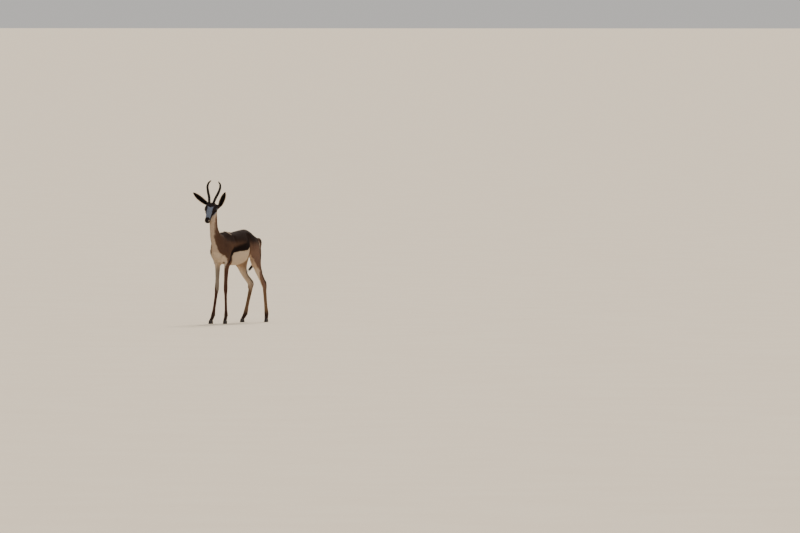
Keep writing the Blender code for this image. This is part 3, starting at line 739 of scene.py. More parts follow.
def head_folds():
    """Lids, nostrils, mouth, and the hollows and ridges of the skull."""
    shapes = []
    for side, _ in SIDES:
        eye = eye_frame(side)
        (across, up, along), radii = NOSTRIL_HOLE
        shapes += [
            fold(eye_arc(0.5, 2.7, 7, 0.0175, 0.0125, 0.0035, 0.0115), 0.0022, 0.0016, eye),
            fold(eye_arc(-2.5, -0.6, 6, 0.0150, 0.0110, 0.0, 0.0120), 0.0020, 0.0011, eye),
            fold(EYE_CORNER, 0.0024, 0.0022, eye),
            fold(sided(NOSTRIL, side), 0.0021, 0.0046, HEAD, FORWARD, 0.012),
            hollow_ball(HEAD.world(side * across, up, along), radii, HEAD, 0.0025),
            fold(sided(NOSE_WING_RIDGE, side), 0.0030, -0.0014, HEAD, FORWARD, 0.012),
        ]
        shapes += [fold(sided(path, side), width, depth, HEAD) for path, width, depth in HEAD_FOLDS]
    lip = [(0, up + 0.0045, along + 0.002) for across, up, along in MOUTH[:3]]
    return shapes + [
        fold(LIP_CLEFT, 0.0012, 0.0022, HEAD),
        fold(MOUTH, 0.0013, 0.0038, HEAD, LEFT),
        fold(lip, 0.0028, -0.0010, HEAD, LEFT),
        fold(BROW_HOLLOW, 0.0090, 0.0010, HEAD),
    ]


def body_folds():
    """Muscles, bones and hollows that show under the coat."""
    shapes = []
    for side, name in SIDES:
        for path, width, depth in NECK_FOLDS + SHOULDER_FOLDS + HIND_FOLDS:
            shapes.append(fold(sided(path, side), width, depth))
        for rib in range(RIBS):
            top = FIRST_RIB + RIB_STEP * rib
            path = [(across, top + behind, height) for across, behind, height in RIB]
            shapes.append(fold(sided(path, side), 0.0055, 0.0011))
        shapes += leg_folds(FORE_LEG[name], FORE_SHANK_ENDS)
        shapes += leg_folds(HIND_LEG[name], HIND_SHANK_ENDS)
        for way in (-1, 1):
            path = leg_line(HIND_LEG[name], GASKIN_HEIGHTS, way * 0.9, 0.42)
            shapes.append(fold(path, 0.0060, 0.0042))
    return shapes


def leg_line(rows, heights, across, behind):
    """Points on a leg: so many half widths outwards and half depths behind its middle."""
    path = []
    for height in heights:
        x, y, half_x, half_y = read_off(rows, height, 1, 2, 3, 4)
        path.append((x + across * half_x, y + half_y * behind, height))
    return path


def leg_folds(rows, ends):
    """The grooves between bone and tendon down both sides of a shank, and round its joints."""
    bottom, top = ends
    shapes = []
    for way in (-1, 1):
        shapes.append(fold(leg_line(rows, np.linspace(top, bottom, 5), way, 0.28), 0.0036, 0.0026))
        for height, depth in FETLOCK_CREASES:
            crease = leg_line(rows, [height], way, -0.6) + leg_line(rows, [height], way, 0.8)
            shapes.append(fold(crease, 0.0040, depth))
    return shapes


def above_throat(points):
    """How far above the plane between neck and head a point lies."""
    return (points - THROAT) @ ABOVE_THROAT


def above_neck_base(points):
    """How far above the plane between trunk and neck a point lies."""
    return (points - NECK_BASE) @ ABOVE_NECK_BASE


def coat_depth(points):
    """How far the skin lies under the tips of the coat."""
    z = points[:, 2]
    head = ramp(above_throat(points), -0.035, 0.010)
    neck = ramp(above_neck_base(points), -0.060, 0.020)
    leg = ramp(z, 0.560, 0.420)
    depth = DEPTH_BODY + (DEPTH_NECK - DEPTH_BODY) * neck
    depth = depth + (DEPTH_LEG - depth) * np.maximum(leg, tail_share(points))
    depth = depth + DEPTH_CORONET * ramp(z, 0.040, 0.026)
    return depth + (DEPTH_FACE - depth) * head


def sampled(shapes, low, high, cell):
    """The field on a grid: below zero inside the skin."""
    low = np.asarray(low, float)
    count = np.ceil((np.asarray(high) - low) / cell).astype(int) + 1
    axes = [low[k] + cell * np.arange(count[k]) for k in range(3)]
    field = np.full(count, 1.0, np.float32)
    for shape in shapes:
        first = np.maximum(np.floor((shape.low - low) / cell).astype(int), 0)
        last = np.minimum(np.ceil((shape.high - low) / cell).astype(int) + 1, count)
        if (last <= first).any():
            continue
        box = tuple(slice(a, b) for a, b in zip(first, last))
        grid = np.meshgrid(*(axis[part] for axis, part in zip(axes, box)), indexing="ij")
        points = np.stack([g.ravel() for g in grid], axis=1)
        field[box] = shape.change(points, field[box].ravel()).reshape(field[box].shape)
    near = np.argwhere(np.abs(field) < 0.02)
    field[tuple(near.T)] += coat_depth(low + cell * near)
    return field


def field_at(shapes, points):
    values = np.full(len(points), 1.0)
    for shape in shapes:
        near = ((points > shape.low) & (points < shape.high)).all(axis=1)
        if near.any():
            values[near] = shape.change(points[near], values[near])
    return values + coat_depth(points)


def field_mesh(shapes, low, high, cell):
    grid = openvdb.FloatGrid()
    grid.copyFromArray(sampled(shapes, low, high, cell))
    points, quads = grid.convertToQuads(isovalue=0.0)
    return points * cell + np.asarray(low, float), quads


def placed(name, data):
    """A new object in the scene."""
    obj = bpy.data.objects.new(name, data)
    bpy.context.scene.collection.objects.link(obj)
    return obj


def new_object(name, points, faces, smooth=True):
    mesh = bpy.data.meshes.new(name)
    mesh.from_pydata(np.asarray(points).tolist(), [], [tuple(map(int, face)) for face in faces])
    mesh.polygons.foreach_set("use_smooth", [smooth] * len(mesh.polygons))
    return placed(name, mesh)


def values_of(items, field, width=1, kind=np.float32):
    """One field of all items of a mesh, as an array."""
    values = np.empty(len(items) * width, kind)
    items.foreach_get(field, values)
    return values


def outward(obj):
    work = bmesh.new()
    work.from_mesh(obj.data)
    bmesh.ops.recalc_face_normals(work, faces=work.faces)
    work.to_mesh(obj.data)
    work.free()
    return obj


def ring_faces(first, count, sections):
    """The two ends and the sides of a closed body of rings; first is its first point's number."""
    last = first + count * (sections - 1)
    faces = [tuple(range(first, first + count)), tuple(range(last, last + count))]
    for section in range(sections - 1):
        for k in range(count):
            a = first + section * count + k
            b = first + section * count + (k + 1) % count
            faces.append((a, b, b + count, a + count))
    return faces


def rings(name, sections):
    """A closed body from sections of the same number of points."""
    faces = ring_faces(0, len(sections[0]), len(sections))
    return outward(new_object(name, np.concatenate(sections), faces))


def half_skin(shapes, box, cell, point, normal):
    """The skin on one side of a plane, open along it."""
    points, quads = field_mesh(shapes, *box, cell)
    work = bmesh.new()
    vertices = [work.verts.new(place) for place in points]
    for quad in quads:
        work.faces.new([vertices[k] for k in quad])
    geometry = work.verts[:] + work.edges[:] + work.faces[:]
    bmesh.ops.bisect_plane(
        work, geom=geometry, plane_co=Vector(point), plane_no=Vector(normal), clear_inner=True,
    )
    mesh = bpy.data.meshes.new("half")
    work.to_mesh(mesh)
    work.free()
    return mesh


def skin_mesh(shapes):
    """The body's coarser mesh and the head's finer one, sewn together round the neck."""
    seam = THROAT - SEAM_BELOW_THROAT * ABOVE_THROAT
    work = bmesh.new()
    for box, cell, way in ((BODY_BOX, BODY_CELL, -1), (HEAD_BOX, HEAD_CELL, 1)):
        edge = seam + way * SEAM_HALF_WIDTH * ABOVE_THROAT
        work.from_mesh(half_skin(shapes, box, cell, edge, way * ABOVE_THROAT))
    bmesh.ops.bridge_loops(work, edges=[edge for edge in work.edges if edge.is_boundary])
    close = fine_here(np.array([vertex.co for vertex in work.verts]))
    chosen = {vertex for vertex, here in zip(work.verts, close) if here}
    edges = [edge for edge in work.edges if edge.verts[0] in chosen and edge.verts[1] in chosen]
    bmesh.ops.subdivide_edges(work, edges=edges, cuts=1, use_grid_fill=True)
    bmesh.ops.triangulate(work, faces=[face for face in work.faces if len(face.verts) > 4])
    bmesh.ops.recalc_face_normals(work, faces=work.faces)
    return work


def fine_here(points, margin=0.0):
    """Where the skin has faces of half the size: the legs, round the eyes and on the muzzle."""
    fine = (points[:, 2] < FINE_BELOW + margin) | (tail_share(points) > 0.5)
    for side, _ in SIDES:
        fine |= np.linalg.norm(points - eye_centre(side), axis=1) < 0.024 + margin
    across, up, along = HEAD.local(points).T
    return fine | ((along > 0.098 - margin) & (np.abs(across) < 0.04) & (up > -0.06) & (along < 0.14))


def settle(work, shapes, turns=3, step=0.0003, furthest=0.002):
    """Draw the vertices of the finer parts onto the field."""
    every = np.array([vertex.co for vertex in work.verts])
    mine = np.flatnonzero(fine_here(every, 0.006))
    points = every[mine]
    for _ in range(turns):
        values = np.clip(field_at(shapes, points), -furthest, furthest)
        slope = np.empty_like(points)
        for k, shift in enumerate(step * np.eye(3)):
            rise = field_at(shapes, points + shift) - field_at(shapes, points - shift)
            slope[:, k] = rise / (2 * step)
        points -= slope * (values / np.maximum((slope ** 2).sum(axis=1), 0.3))[:, None]
    work.verts.ensure_lookup_table()
    for k, point in zip(mine, points):
        work.verts[int(k)].co = Vector(point)


def ear_bow(bow, share):
    """How far the ear's middle line stands aside; it is straight again at root and tip."""
    bent = np.clip(share, 0, 1) ** 0.35
    return bow * 4 * bent * (1 - bent)


def ear_axes(side_name):
    """The ear's root, the ways its tip and its cup point, the way across it, and its bow."""
    root, tip, opening, bow = EARS[side_name]
    opening = unit(opening - np.dot(opening, tip) * tip)
    return root, tip, opening, np.cross(tip, opening), bow


def ear_sections(side_name, stations=44, across=19):
    """A cupped leaf with a rolled rim and long folds inside."""
    root, tip, opening, width, bow = ear_axes(side_name)
    table = spline(EAR, 8)
    sections = []
    for share in np.linspace(0, 1, stations):
        arc, radius, thick = read_off(table, share, 1, 2, 3)
        half_angle = min(arc / radius, 2.5)
        middle = root + tip * EAR_LENGTH * share + opening * (radius - EAR_SINK)
        middle = middle + ear_bow(bow, share) * width
        spread = np.linspace(-1, 1, across)
        half_thick = thick * np.sqrt(np.clip(1.06 - spread ** 2, 0, 1)) / 2
        ribs = 0.0007 * np.cos(spread * 11) * ramp(share, 0.05, 0.2) * ramp(share, 0.9, 0.6)
        outer = []
        inner = []
        for angle, half, rib in zip(spread * half_angle, half_thick, ribs):
            spoke = math.sin(angle) * width - math.cos(angle) * opening
            outer.append(middle + (radius + half) * spoke)
            inner.append(middle + (radius - half - rib) * spoke)
        sections.append(np.array(outer + inner[::-1]))
    return sections


def make_skin(shapes):
    work = skin_mesh(shapes)
    settle(work, shapes)
    mesh = bpy.data.meshes.new("skin")
    work.to_mesh(mesh)
    work.free()
    skin = placed("skin", mesh)
    for _, name in SIDES:
        ear = rings("ear", ear_sections(name))
        union = skin.modifiers.new("ear", "BOOLEAN")
        union.operation = "UNION"
        union.solver = "EXACT"
        union.object = ear
        graph = bpy.context.evaluated_depsgraph_get()
        mesh = bpy.data.meshes.new_from_object(skin.evaluated_get(graph))
        skin.modifiers.clear()
        skin.data = mesh
        bpy.data.objects.remove(ear)
    skin.data.polygons.foreach_set("use_smooth", [True] * len(skin.data.polygons))
    skin.data.name = "skin"
    return skin


# Where the markings run, measured on the flank: y, lower edge and upper edge of the dark band.
BAND = np.array((
    (-0.300, 0.468, 0.484),
    (-0.275, 0.506, 0.534),
    (-0.245, 0.552, 0.604),
    (-0.200, 0.592, 0.634),
    (-0.120, 0.603, 0.648),
    (-0.050, 0.604, 0.660),
    (0.010, 0.612, 0.676),
    (0.030, 0.624, 0.688),
    (0.050, 0.638, 0.700),
    (0.088, 0.690, 0.712),
))
# The lower edge of the painted shade over the back: y, height and how slowly it darkens upwards.
BACK_SHADE = np.array((
    (-0.300, 0.672, 0.065),
    (-0.200, 0.635, 0.065),
    (0.050, 0.620, 0.080),
    (0.120, 0.572, 0.145),
    (0.200, 0.594, 0.140),
    (0.300, 0.665, 0.070),
))
# The pale stripe down the front of the neck: height and half width.
NECK_STRIPE = np.array((
    (0.600, 0.034), (0.650, 0.022), (0.700, 0.015), (0.745, 0.016),
    (0.800, 0.020), (0.850, 0.022), (0.880, 0.034),
))
# How far round a leg its brown reaches, in degrees from the outer side: height, to the front, to the rear;
# the fourth number narrows it in front on the right leg.
FORE_BROWN = np.array((
    (0.220, -200, 200, 0),
    (0.270, -180, 190, 45),
    (0.300, -155, 150, 62),
    (0.340, -132, 115, 62),
    (0.400, -120, 110, 70),
    (0.460, -98, 105, 58),
    (0.520, -50, 100, 14),
    (0.600, -36, 110, 0),
))
HIND_BROWN = np.array((
    (0.235, -200, 200, 0),
    (0.270, -108, 195, 0),
    (0.300, -90, 178, 0),
    (0.340, -64, 165, 0),
    (0.380, -22, 150, 0),
    (0.440, -4, 140, 0),
    (0.490, -22, 135, 0),
    (0.516, -38, 130, 0),
    (0.548, -60, 124, 0),
    (0.590, -90, 116, 0),
    (0.640, -130, 105, 0),
    (0.680, -200, 100, 0),
))
# Half the width of the brown's soft edge, in degrees.
LEG_EDGE = 9
# From the eye to the corner of the mouth, across, up and along the face.
FACE_STRIPE = (
    (0.0385, 0.0020, 0.0130), (0.0340, 0.0000, 0.0330), (0.0285, -0.0060, 0.0540),
    (0.0255, -0.0120, 0.0740), (0.0235, -0.0170, 0.0940),
)
# Paths of painted highlights, pale streaks of sunlight on the pin bones and the left shoulder blade, and of
# painted shadow in the armpits.
RUMP_HIGHLIGHT = np.array(((0.060, 0.260, 0.704), (0.066, 0.258, 0.655), (0.074, 0.247, 0.620)))
BLADE_HIGHLIGHT = np.array((
    (0.006, -0.221, 0.763), (0.020, -0.214, 0.756), (0.030, -0.197, 0.746), (0.037, -0.186, 0.738),
))
ARMPIT_SHADOW = np.array(((0.030, -0.285, 0.515), (0.039, -0.288, 0.508), (0.043, -0.289, 0.490)))
# The height below which the tail is dark.
TAIL_DARK = 0.505
# The dark patch round the eye, and the pale spot on the upper lip, which is its white hair with painted
# light, in the head's frame.
EYE_PATCH = np.array((
    (0.036, 0.008, 0.026), (0.037, 0.016, 0.006), (0.040, 0.014, -0.014), (0.040, 0.000, -0.040),
))
LIP_SPOT = np.array(((0.0150, -0.0060, 0.1135), (0.0185, -0.0085, 0.1060)))
# The middle of the painted shade on the croup.
CROUP = np.array((0, 0.165, 0.725))


def mix(colours, other, share):
    return colours + (other - colours) * np.asarray(share)[:, None]


def wander(points, size):
    """A slow, smooth wobble of about +-1 with waves of the given size."""
    p = points * (2 * math.pi / size)
    first = np.sin(p[:, 0] + 1.7 * np.sin(p[:, 1] * 0.7))
    second = np.sin(p[:, 1] * 1.1 + 2.0 * np.sin(p[:, 2] * 0.6))
    third = np.sin(p[:, 2] * 0.9 + 1.3 * np.sin(p[:, 0] * 0.8))
    return (first + second + third) / 2.2


def leg_brown(points, normals, table):
    """How brown a leg is, from the way its surface faces: 0 is outwards and 90 to the rear."""
    outwards = np.sign(points[:, 0]) * normals[:, 0]
    facing = np.degrees(np.arctan2(normals[:, 1], outwards)) + 4 * wander(points, 0.04)
    front, rear, less = read_off(table, points[:, 2], 1, 2, 3)
    front = front + less * (points[:, 0] < 0)
    return ramp(facing - front, -LEG_EDGE, LEG_EDGE) * ramp(rear - facing, -LEG_EDGE, LEG_EDGE)


def behind_axis(points):
    """How far behind the middle of its hind leg a point lies, in half depths."""
    behind = np.zeros(len(points))
    for side, name in SIDES:
        middle, half = read_off(HIND_LEG[name], points[:, 2], 2, 4)
        behind = np.where(side * points[:, 0] > 0, (points[:, 1] - middle) / half, behind)
    return behind


def plain(colour, points):
    """One colour for every point."""
    return np.tile(colour, (len(points), 1))


def browns(points, normals, wobble):
    """The coat's browns: a paler haunch and darker shoulders, with painted shade over the back, the
    haunch's front edge, the croup and the nape.
    """
    _, y, z = points.T
    colours = mix(plain(COAT, points), HAUNCH_COAT, ramp(y, 0.06, 0.12))
    colours = mix(colours, SHOULDER_COAT, ramp(y, -0.06, -0.20) * ramp(z, 0.50, 0.58) * ramp(z, 0.90, 0.72))
    colours = mix(colours, FLANK_COAT, ramp(z, 0.585, 0.630) * ramp(y, -0.20, -0.08) * ramp(y, 0.09, 0.04))
    # Painted shade: the back darkens upwards from the lower edge of its shade.
    shade_edge, fade = read_off(BACK_SHADE, y, 1, 2)
    colours = mix(colours, SHADED_COAT, ramp(z + 3 * wobble, shade_edge, shade_edge + fade) * ramp(y, -0.35, -0.27))
    # Painted shade down the front edge of the haunch.
    shaded = ramp(y, 0.090, 0.055) * ramp(z, 0.70, 0.66) * ramp(z, 0.50, 0.56)
    colours = mix(colours, SHOULDER_COAT, 0.6 * shaded)
    colours = mix(colours, FORE_SHANK, 0.90 * ramp(z, 0.54, 0.42) * ramp(y, -0.02, -0.06))
    # Painted shade on the croup.
    croup = np.linalg.norm((points - CROUP) * (0, 1, 1.6), axis=1)
    colours = mix(colours, CHOCOLATE, 0.80 * ramp(croup, 0.115, 0.040))
    # Painted shade on the nape.
    nape = ramp(normals[:, 1], 0.1, 0.6) * ramp(y, -0.18, -0.28)
    return mix(colours, SHADED_COAT, 0.55 * nape)


def with_neck_stripe(colours, points, normals, wobble):
    """The pale front of the neck, narrow at its foot."""
    x, y, z = points.T
    half = np.interp(z, NECK_STRIPE[:, 0], NECK_STRIPE[:, 1])
    front = ramp(np.abs(x) + wobble - half, 0.006, -0.004) * ramp(normals[:, 1], -0.12, -0.34)
    front = front * ramp(y, -0.28, -0.32)
    return mix(colours, CREAM, front * ramp(z, 0.58, 0.60) * 0.92)


def with_white(colours, points, normals, wobble):
    """The brown of shoulders and legs ends against the white of chest, belly and inner legs."""
    x, y, z = points.T
    low_edge, = read_off(BAND, y, 1)
    chest_edge = 0.606 - 0.68 * np.maximum(np.abs(x) - 0.023, 0)
    fore_part = ramp(y, -0.205, -0.235)
    hind_part = ramp(y, 0.036, 0.052)
    chest = ramp(z + wobble, chest_edge + 0.004, chest_edge - 0.004)
    belly = ramp(z + wobble, low_edge + 0.003, low_edge - 0.003)
    white = fore_part * chest * (1 - leg_brown(points, normals, FORE_BROWN))
    white = white + hind_part * (1 - leg_brown(points, normals, HIND_BROWN)) * ramp(z, 0.70, 0.66)
    white = white + (1 - fore_part) * (1 - hind_part) * belly
    under = ramp(-normals[:, 2], 0.30, 0.60) * ramp(z, 0.43, 0.47) * ramp(z, 0.72, 0.66)
    pale = mix(plain(BELLY_WHITE, points), THIGH_PALE, 0.9 * hind_part * ramp(z, 0.42, 0.48))
    pale = mix(pale, LEG_PALE, ramp(z, 0.50, 0.44) * ramp(y, 0.0, -0.05))
    return mix(colours, pale, np.clip(np.maximum(white, under), 0, 1))


def with_band(colours, points, normals, wobble):
    """The dark band along the flank."""
    x, y, z = points.T
    low_edge, high_edge = read_off(BAND, y, 1, 2)
    band = ramp(z + wobble, low_edge - 0.003, low_edge + 0.003)
    band = band * ramp(z + wobble, high_edge + 0.018, high_edge - 0.012)
    band = band * ramp(y, -0.30, -0.27) * ramp(y, 0.085, 0.048)
    return mix(colours, CHOCOLATE, band * ramp(np.sign(x) * normals[:, 0], 0.05, 0.35))


def with_rump(colours, points, normals, wobble):
    """The rump patch, its dark edge, painted shade along the haunch's outer rear edge, and the closed white
    crest on the back.
    """
    x, y, z = points.T
    reach = np.interp(y, (0.02, 0.06, 0.16, 0.24, 0.29, 0.33), (0.000, 0.006, 0.010, 0.018, 0.030, 0.040))
    rear = ramp(normals[:, 1] - 0.25 * normals[:, 2], 0.20, 0.45)
    rear = rear * ramp(y, 0.20, 0.25) * ramp(z, 0.40, 0.46)
    rear_reach = np.interp(z, (0.42, 0.50, 0.62, 0.70), (0.100, 0.062, 0.038, 0.030))
    half = np.where(rear > 0.5, rear_reach, reach)
    top = np.maximum(ramp(normals[:, 2], 0.1, 0.4) * ramp(z, 0.60, 0.64), rear) * ramp(y, 0.02, 0.04)
    patch = ramp(np.abs(x) + wobble, half + 0.002, half - 0.002) * top
    edge = np.interp(y, (0.05, 0.20, 0.26), (0.010, 0.012, 0.026))
    margin = ramp(np.abs(x) + wobble, half + edge, half + edge * 0.7) * top * ramp(z, 0.44, 0.52)
    # Painted shade along the outer rear edge of the haunch.
    rear_shade = ramp(normals[:, 1] - 0.10 * normals[:, 2], 0.00, 0.13) * ramp(y, 0.22, 0.24)
    outer = ramp(np.sign(x) * normals[:, 0], -0.40, -0.10)
    rear_shade = outer * np.maximum(rear_shade, ramp(y, 0.267, 0.277)) * ramp(z, 0.50, 0.56) * ramp(z, 0.715, 0.69)
    colours = mix(colours, RUMP_EDGE, margin * outer)
    colours = mix(colours, CHOCOLATE, 0.85 * rear_shade)
    return mix(colours, WHITE, patch)


def with_painted_light(colours, points, wobble):
    """Painted highlights, pale streaks of sunlight on the pin bones and the left shoulder blade, and
    painted shadow in the armpits.
    """
    x, y, z = points.T
    # Painted highlights: pale streaks of sunlight on the pin bones and the left shoulder blade.
    for highlight, across in ((RUMP_HIGHLIGHT, np.abs(x)), (BLADE_HIGHLIGHT, x)):
        away = path_distance(np.stack((0.5 * across, y, z), axis=1), highlight * (0.5, 1, 1))
        colours = mix(colours, CREAM, 0.8 * ramp(away + wobble, 0.0060, 0.0024))
    # Painted shadow in the armpits.
    return mix(colours, CHOCOLATE, 0.9 * ramp(path_distance(points, ARMPIT_SHADOW), 0.012, 0.006))


def with_shanks(colours, points, normals):
    """The legs grow darker to the rear and towards the claws."""
    x, y, z = points.T
    fore = y < 0
    right = x < 0
    behind = ramp(behind_axis(points), 0.0, 0.45) * ramp(z, 0.50, 0.42) * (y > 0) * (1 - tail_share(points))
    colours = mix(colours, PASTERN, np.where(x > 0, 0.75, 0.50) * behind)
    fore_share = np.where(right, ramp(z, 0.320, 0.170), ramp(z, 0.300, 0.265))
    hind_share = np.where(right, ramp(z, 0.350, 0.230), ramp(z, 0.300, 0.250))
    shank = np.where(fore[:, None], FORE_SHANK, HIND_SHANK)
    colours = mix(colours, shank, np.where(fore, fore_share, hind_share))
    rear_edge = ramp(normals[:, 1], 0.25, 0.75) * ramp(z, 0.46, 0.40)
    colours = mix(colours, PASTERN, 0.5 * rear_edge)
    return mix(colours, PASTERN, ramp(z, 0.12, 0.055))


def body_colours(points, normals):
    wobble = 0.0025 * wander(points, 0.05)
    colours = browns(points, normals, wobble)
    for layer in (with_neck_stripe, with_white, with_band, with_rump):
        colours = layer(colours, points, normals, wobble)
    colours = with_shanks(with_painted_light(colours, points, wobble), points, normals)
    # The tail is white, with a dark tuft.
    tuft = ramp(points[:, 2], TAIL_DARK + 0.012, TAIL_DARK - 0.012)
    return mix(colours, mix(plain(WHITE, points), CHOCOLATE, tuft), tail_share(points))


def tail_share(points):
    """1 on the tail and 0 off it."""
    heights = np.clip(points[:, 2], TAIL[0][0], TAIL[-1][0])
    x, y = read_off(TAIL, heights, 1, 2)
    away = np.hypot(points[:, 0] - x, points[:, 1] - y)
    return ramp(away, 0.022, 0.016) * ramp(points[:, 2], 0.39, 0.40) * ramp(points[:, 2], 0.672, 0.650)


def face_colours(points):
    across, up, along = HEAD.local(points).T
    width = np.abs(across)
    left = across > 0
    place = np.stack((width, up, along), axis=1)
    wobble = 0.0012 * wander(points, 0.02)
    colours = mix(plain(FACE_PALE, points), CREAM, 0.9 * ramp(up, -0.012, -0.034))
    # The poll and the back of the head go over into the neck's brown.
    poll = ramp(along - 0.35 * up, -0.030, -0.050) * ramp(up, -0.045, -0.020)
    colours = mix(colours, SHOULDER_COAT, np.maximum(poll, ramp(points[:, 1], -0.416, -0.392)))
    # The dark crown ends in a point between the eyes.
    half = np.interp(along, (-0.024, -0.014, -0.004, 0.010), (0.050, 0.034, 0.020, -0.008))
    crown = ramp(width + wobble, half + 0.006, half - 0.005) * ramp(up, 0.000, 0.012)
    colours = mix(colours, FOREHEAD, crown)
    # A dark patch round the eye runs up to the ear and down to the corner of the mouth.
    patch = path_distance(place, EYE_PATCH) + wobble - np.where(left, 0.000, 0.004)
    colours = mix(colours, FOREHEAD, ramp(patch, 0.0205, 0.0155))
    for _, name in SIDES:
        root = np.linalg.norm(points - EARS[name][0], axis=1)
        colours = mix(colours, FOREHEAD, 0.85 * ramp(root, 0.030, 0.020))
    stripe = path_distance(place, spline(FACE_STRIPE, 4))
    half = np.interp(along, (0.01, 0.03, 0.06, 0.085, 0.100), (0.0140, 0.0130, 0.0115, 0.0100, 0.0080))
    stripe = ramp(stripe + wobble, half + 0.0015, half - 0.0015) * ramp(along, 0.102, 0.094)
    colours = mix(colours, CHOCOLATE, stripe)
    # The dark nose, with painted shade over the lips round it, and a pale spot on the upper lip: its white
    # hair with painted light, strong on the left and faint on the right.
    colours = mix(colours, MUZZLE, ramp(along + 0.45 * up + wobble, 0.087, 0.094))
    lip = path_distance(place, LIP_SPOT) + 1.5 * wobble
    colours = mix(colours, LEG_PALE, np.where(left, 0.85, 0.15) * ramp(lip, 0.0090, 0.0030))
    line = path_distance(place * (0, 1, 1), np.array(MOUTH))
    colours = mix(colours, LID, ramp(line, 0.0024, 0.0012))
    for side, _ in SIDES:
        p = eye_frame(side).local(points)
        rim = np.hypot(p[:, 0] / 0.0165, p[:, 1] / 0.0120)
        colours = mix(colours, LID, ramp(rim, 1.25, 0.95) * ramp(p[:, 2], 0.0, 0.004))
    return mix(colours, 0.4 * LID, ramp(path_distance(place, np.array(NOSTRIL)), 0.0045, 0.0025))


def ear_place(points, normals):
    """For each point: its share along its ear, how far round the cup it is, and 1 on the cup's inside."""
    share = np.full(len(points), -1.0)
    spread = np.zeros(len(points))
    inside = np.zeros(len(points))
    table = spline(EAR, 8)
    for side, name in SIDES:
        root, tip, opening, width, bow = ear_axes(name)
        local = points - root
        along = local @ tip / EAR_LENGTH
        arc, radius = read_off(table, along, 1, 2)
        first = local @ width - ear_bow(bow, along)
        second = local @ opening - (radius - EAR_SINK)
        away = np.hypot(first, second)
        here = (np.abs(away - radius) < 0.005) & (along > 0.07) & (along < 1.05) & on_side(points, side)
        share = np.where(here, along, share)
        spread = np.where(here, np.arctan2(first, -second) / np.minimum(arc / radius, 2.5), spread)
        facing = first * (normals @ width) + second * (normals @ opening)
        inside = np.where(here, facing / np.maximum(away, 1e-6) < 0.1, inside)
    return share, spread, inside


def on_side(points, side):
    """Whether points lie on the head's left (1) or right (-1)."""
    return np.sign((points - BETWEEN_EYES) @ LEFT) == side


def ear_colours(points, normals, colours):
    share, spread, inside = ear_place(points, normals)
    dark = np.maximum(0.7 * ramp(share, 0.80, 1.0), ramp(share, 0.30, 0.12))
    outer = mix(plain(FAWN, points), FOREHEAD, dark)
    rim = ramp(np.abs(spread), 0.82, 0.95) * ramp(share, 1.02, 0.90) * ramp(share, 0.10, 0.25)
    # The cup's inside is painted near-black with shade.
    inner = mix(plain(SHADED_EAR_INSIDE, points), CREAM, rim)
    ear = np.where(inside[:, None] > 0.5, inner, mix(outer, CREAM, 0.4 * rim))
    return mix(colours, ear, ramp(share, 0.07, 0.12))


def markings(points, normals):
    """The coat's colour at a point of the skin."""
    head = ramp(above_throat(points), -0.012, 0.010)
    colours = mix(body_colours(points, normals), face_colours(points), head)
    colours = ear_colours(points, normals, colours)
    return colours * (1 + 0.05 * wander(points, 0.012))[:, None]


def lie_of_coat(points, normals):
    """The way the hair points, along the skin."""
    _, y, z = points.T
    side_sink = np.clip(1.1 - normals[:, 2], 0, 1.4)
    ways = plain((0, 1, 0), points) - 0.30 * side_sink[:, None] * plain((0, 0, 1), points)
    ways = mix(ways, unit((0, 0.75, -1)), ramp(y, 0.14, 0.27) * ramp(z, 0.76, 0.68))
    ways = mix(ways, unit((0, 0.45, -1)), ramp(y, -0.22, -0.32) * ramp(z, 0.75, 0.68))
    ways = mix(ways, unit((0, 0.10, -1)), ramp(z, 0.58, 0.46))
    neck = ramp(above_neck_base(points), -0.05, 0.03)
    ways = mix(ways, unit((0, 0.30, -1)), neck)
    ways = mix(ways, -FORWARD, ramp(above_throat(points), 0.0, 0.03))
    share = ear_place(points, normals)[0]
    for side, name in SIDES:
        ways = mix(ways, EARS[name][1], ramp(share, 0.05, 0.12) * on_side(points, side))
    ways = mix(ways, unit((-0.35, 0.05, -1)), tail_share(points))
    ways = ways - (ways * normals).sum(axis=1)[:, None] * normals
    return unit(ways + 1e-6)


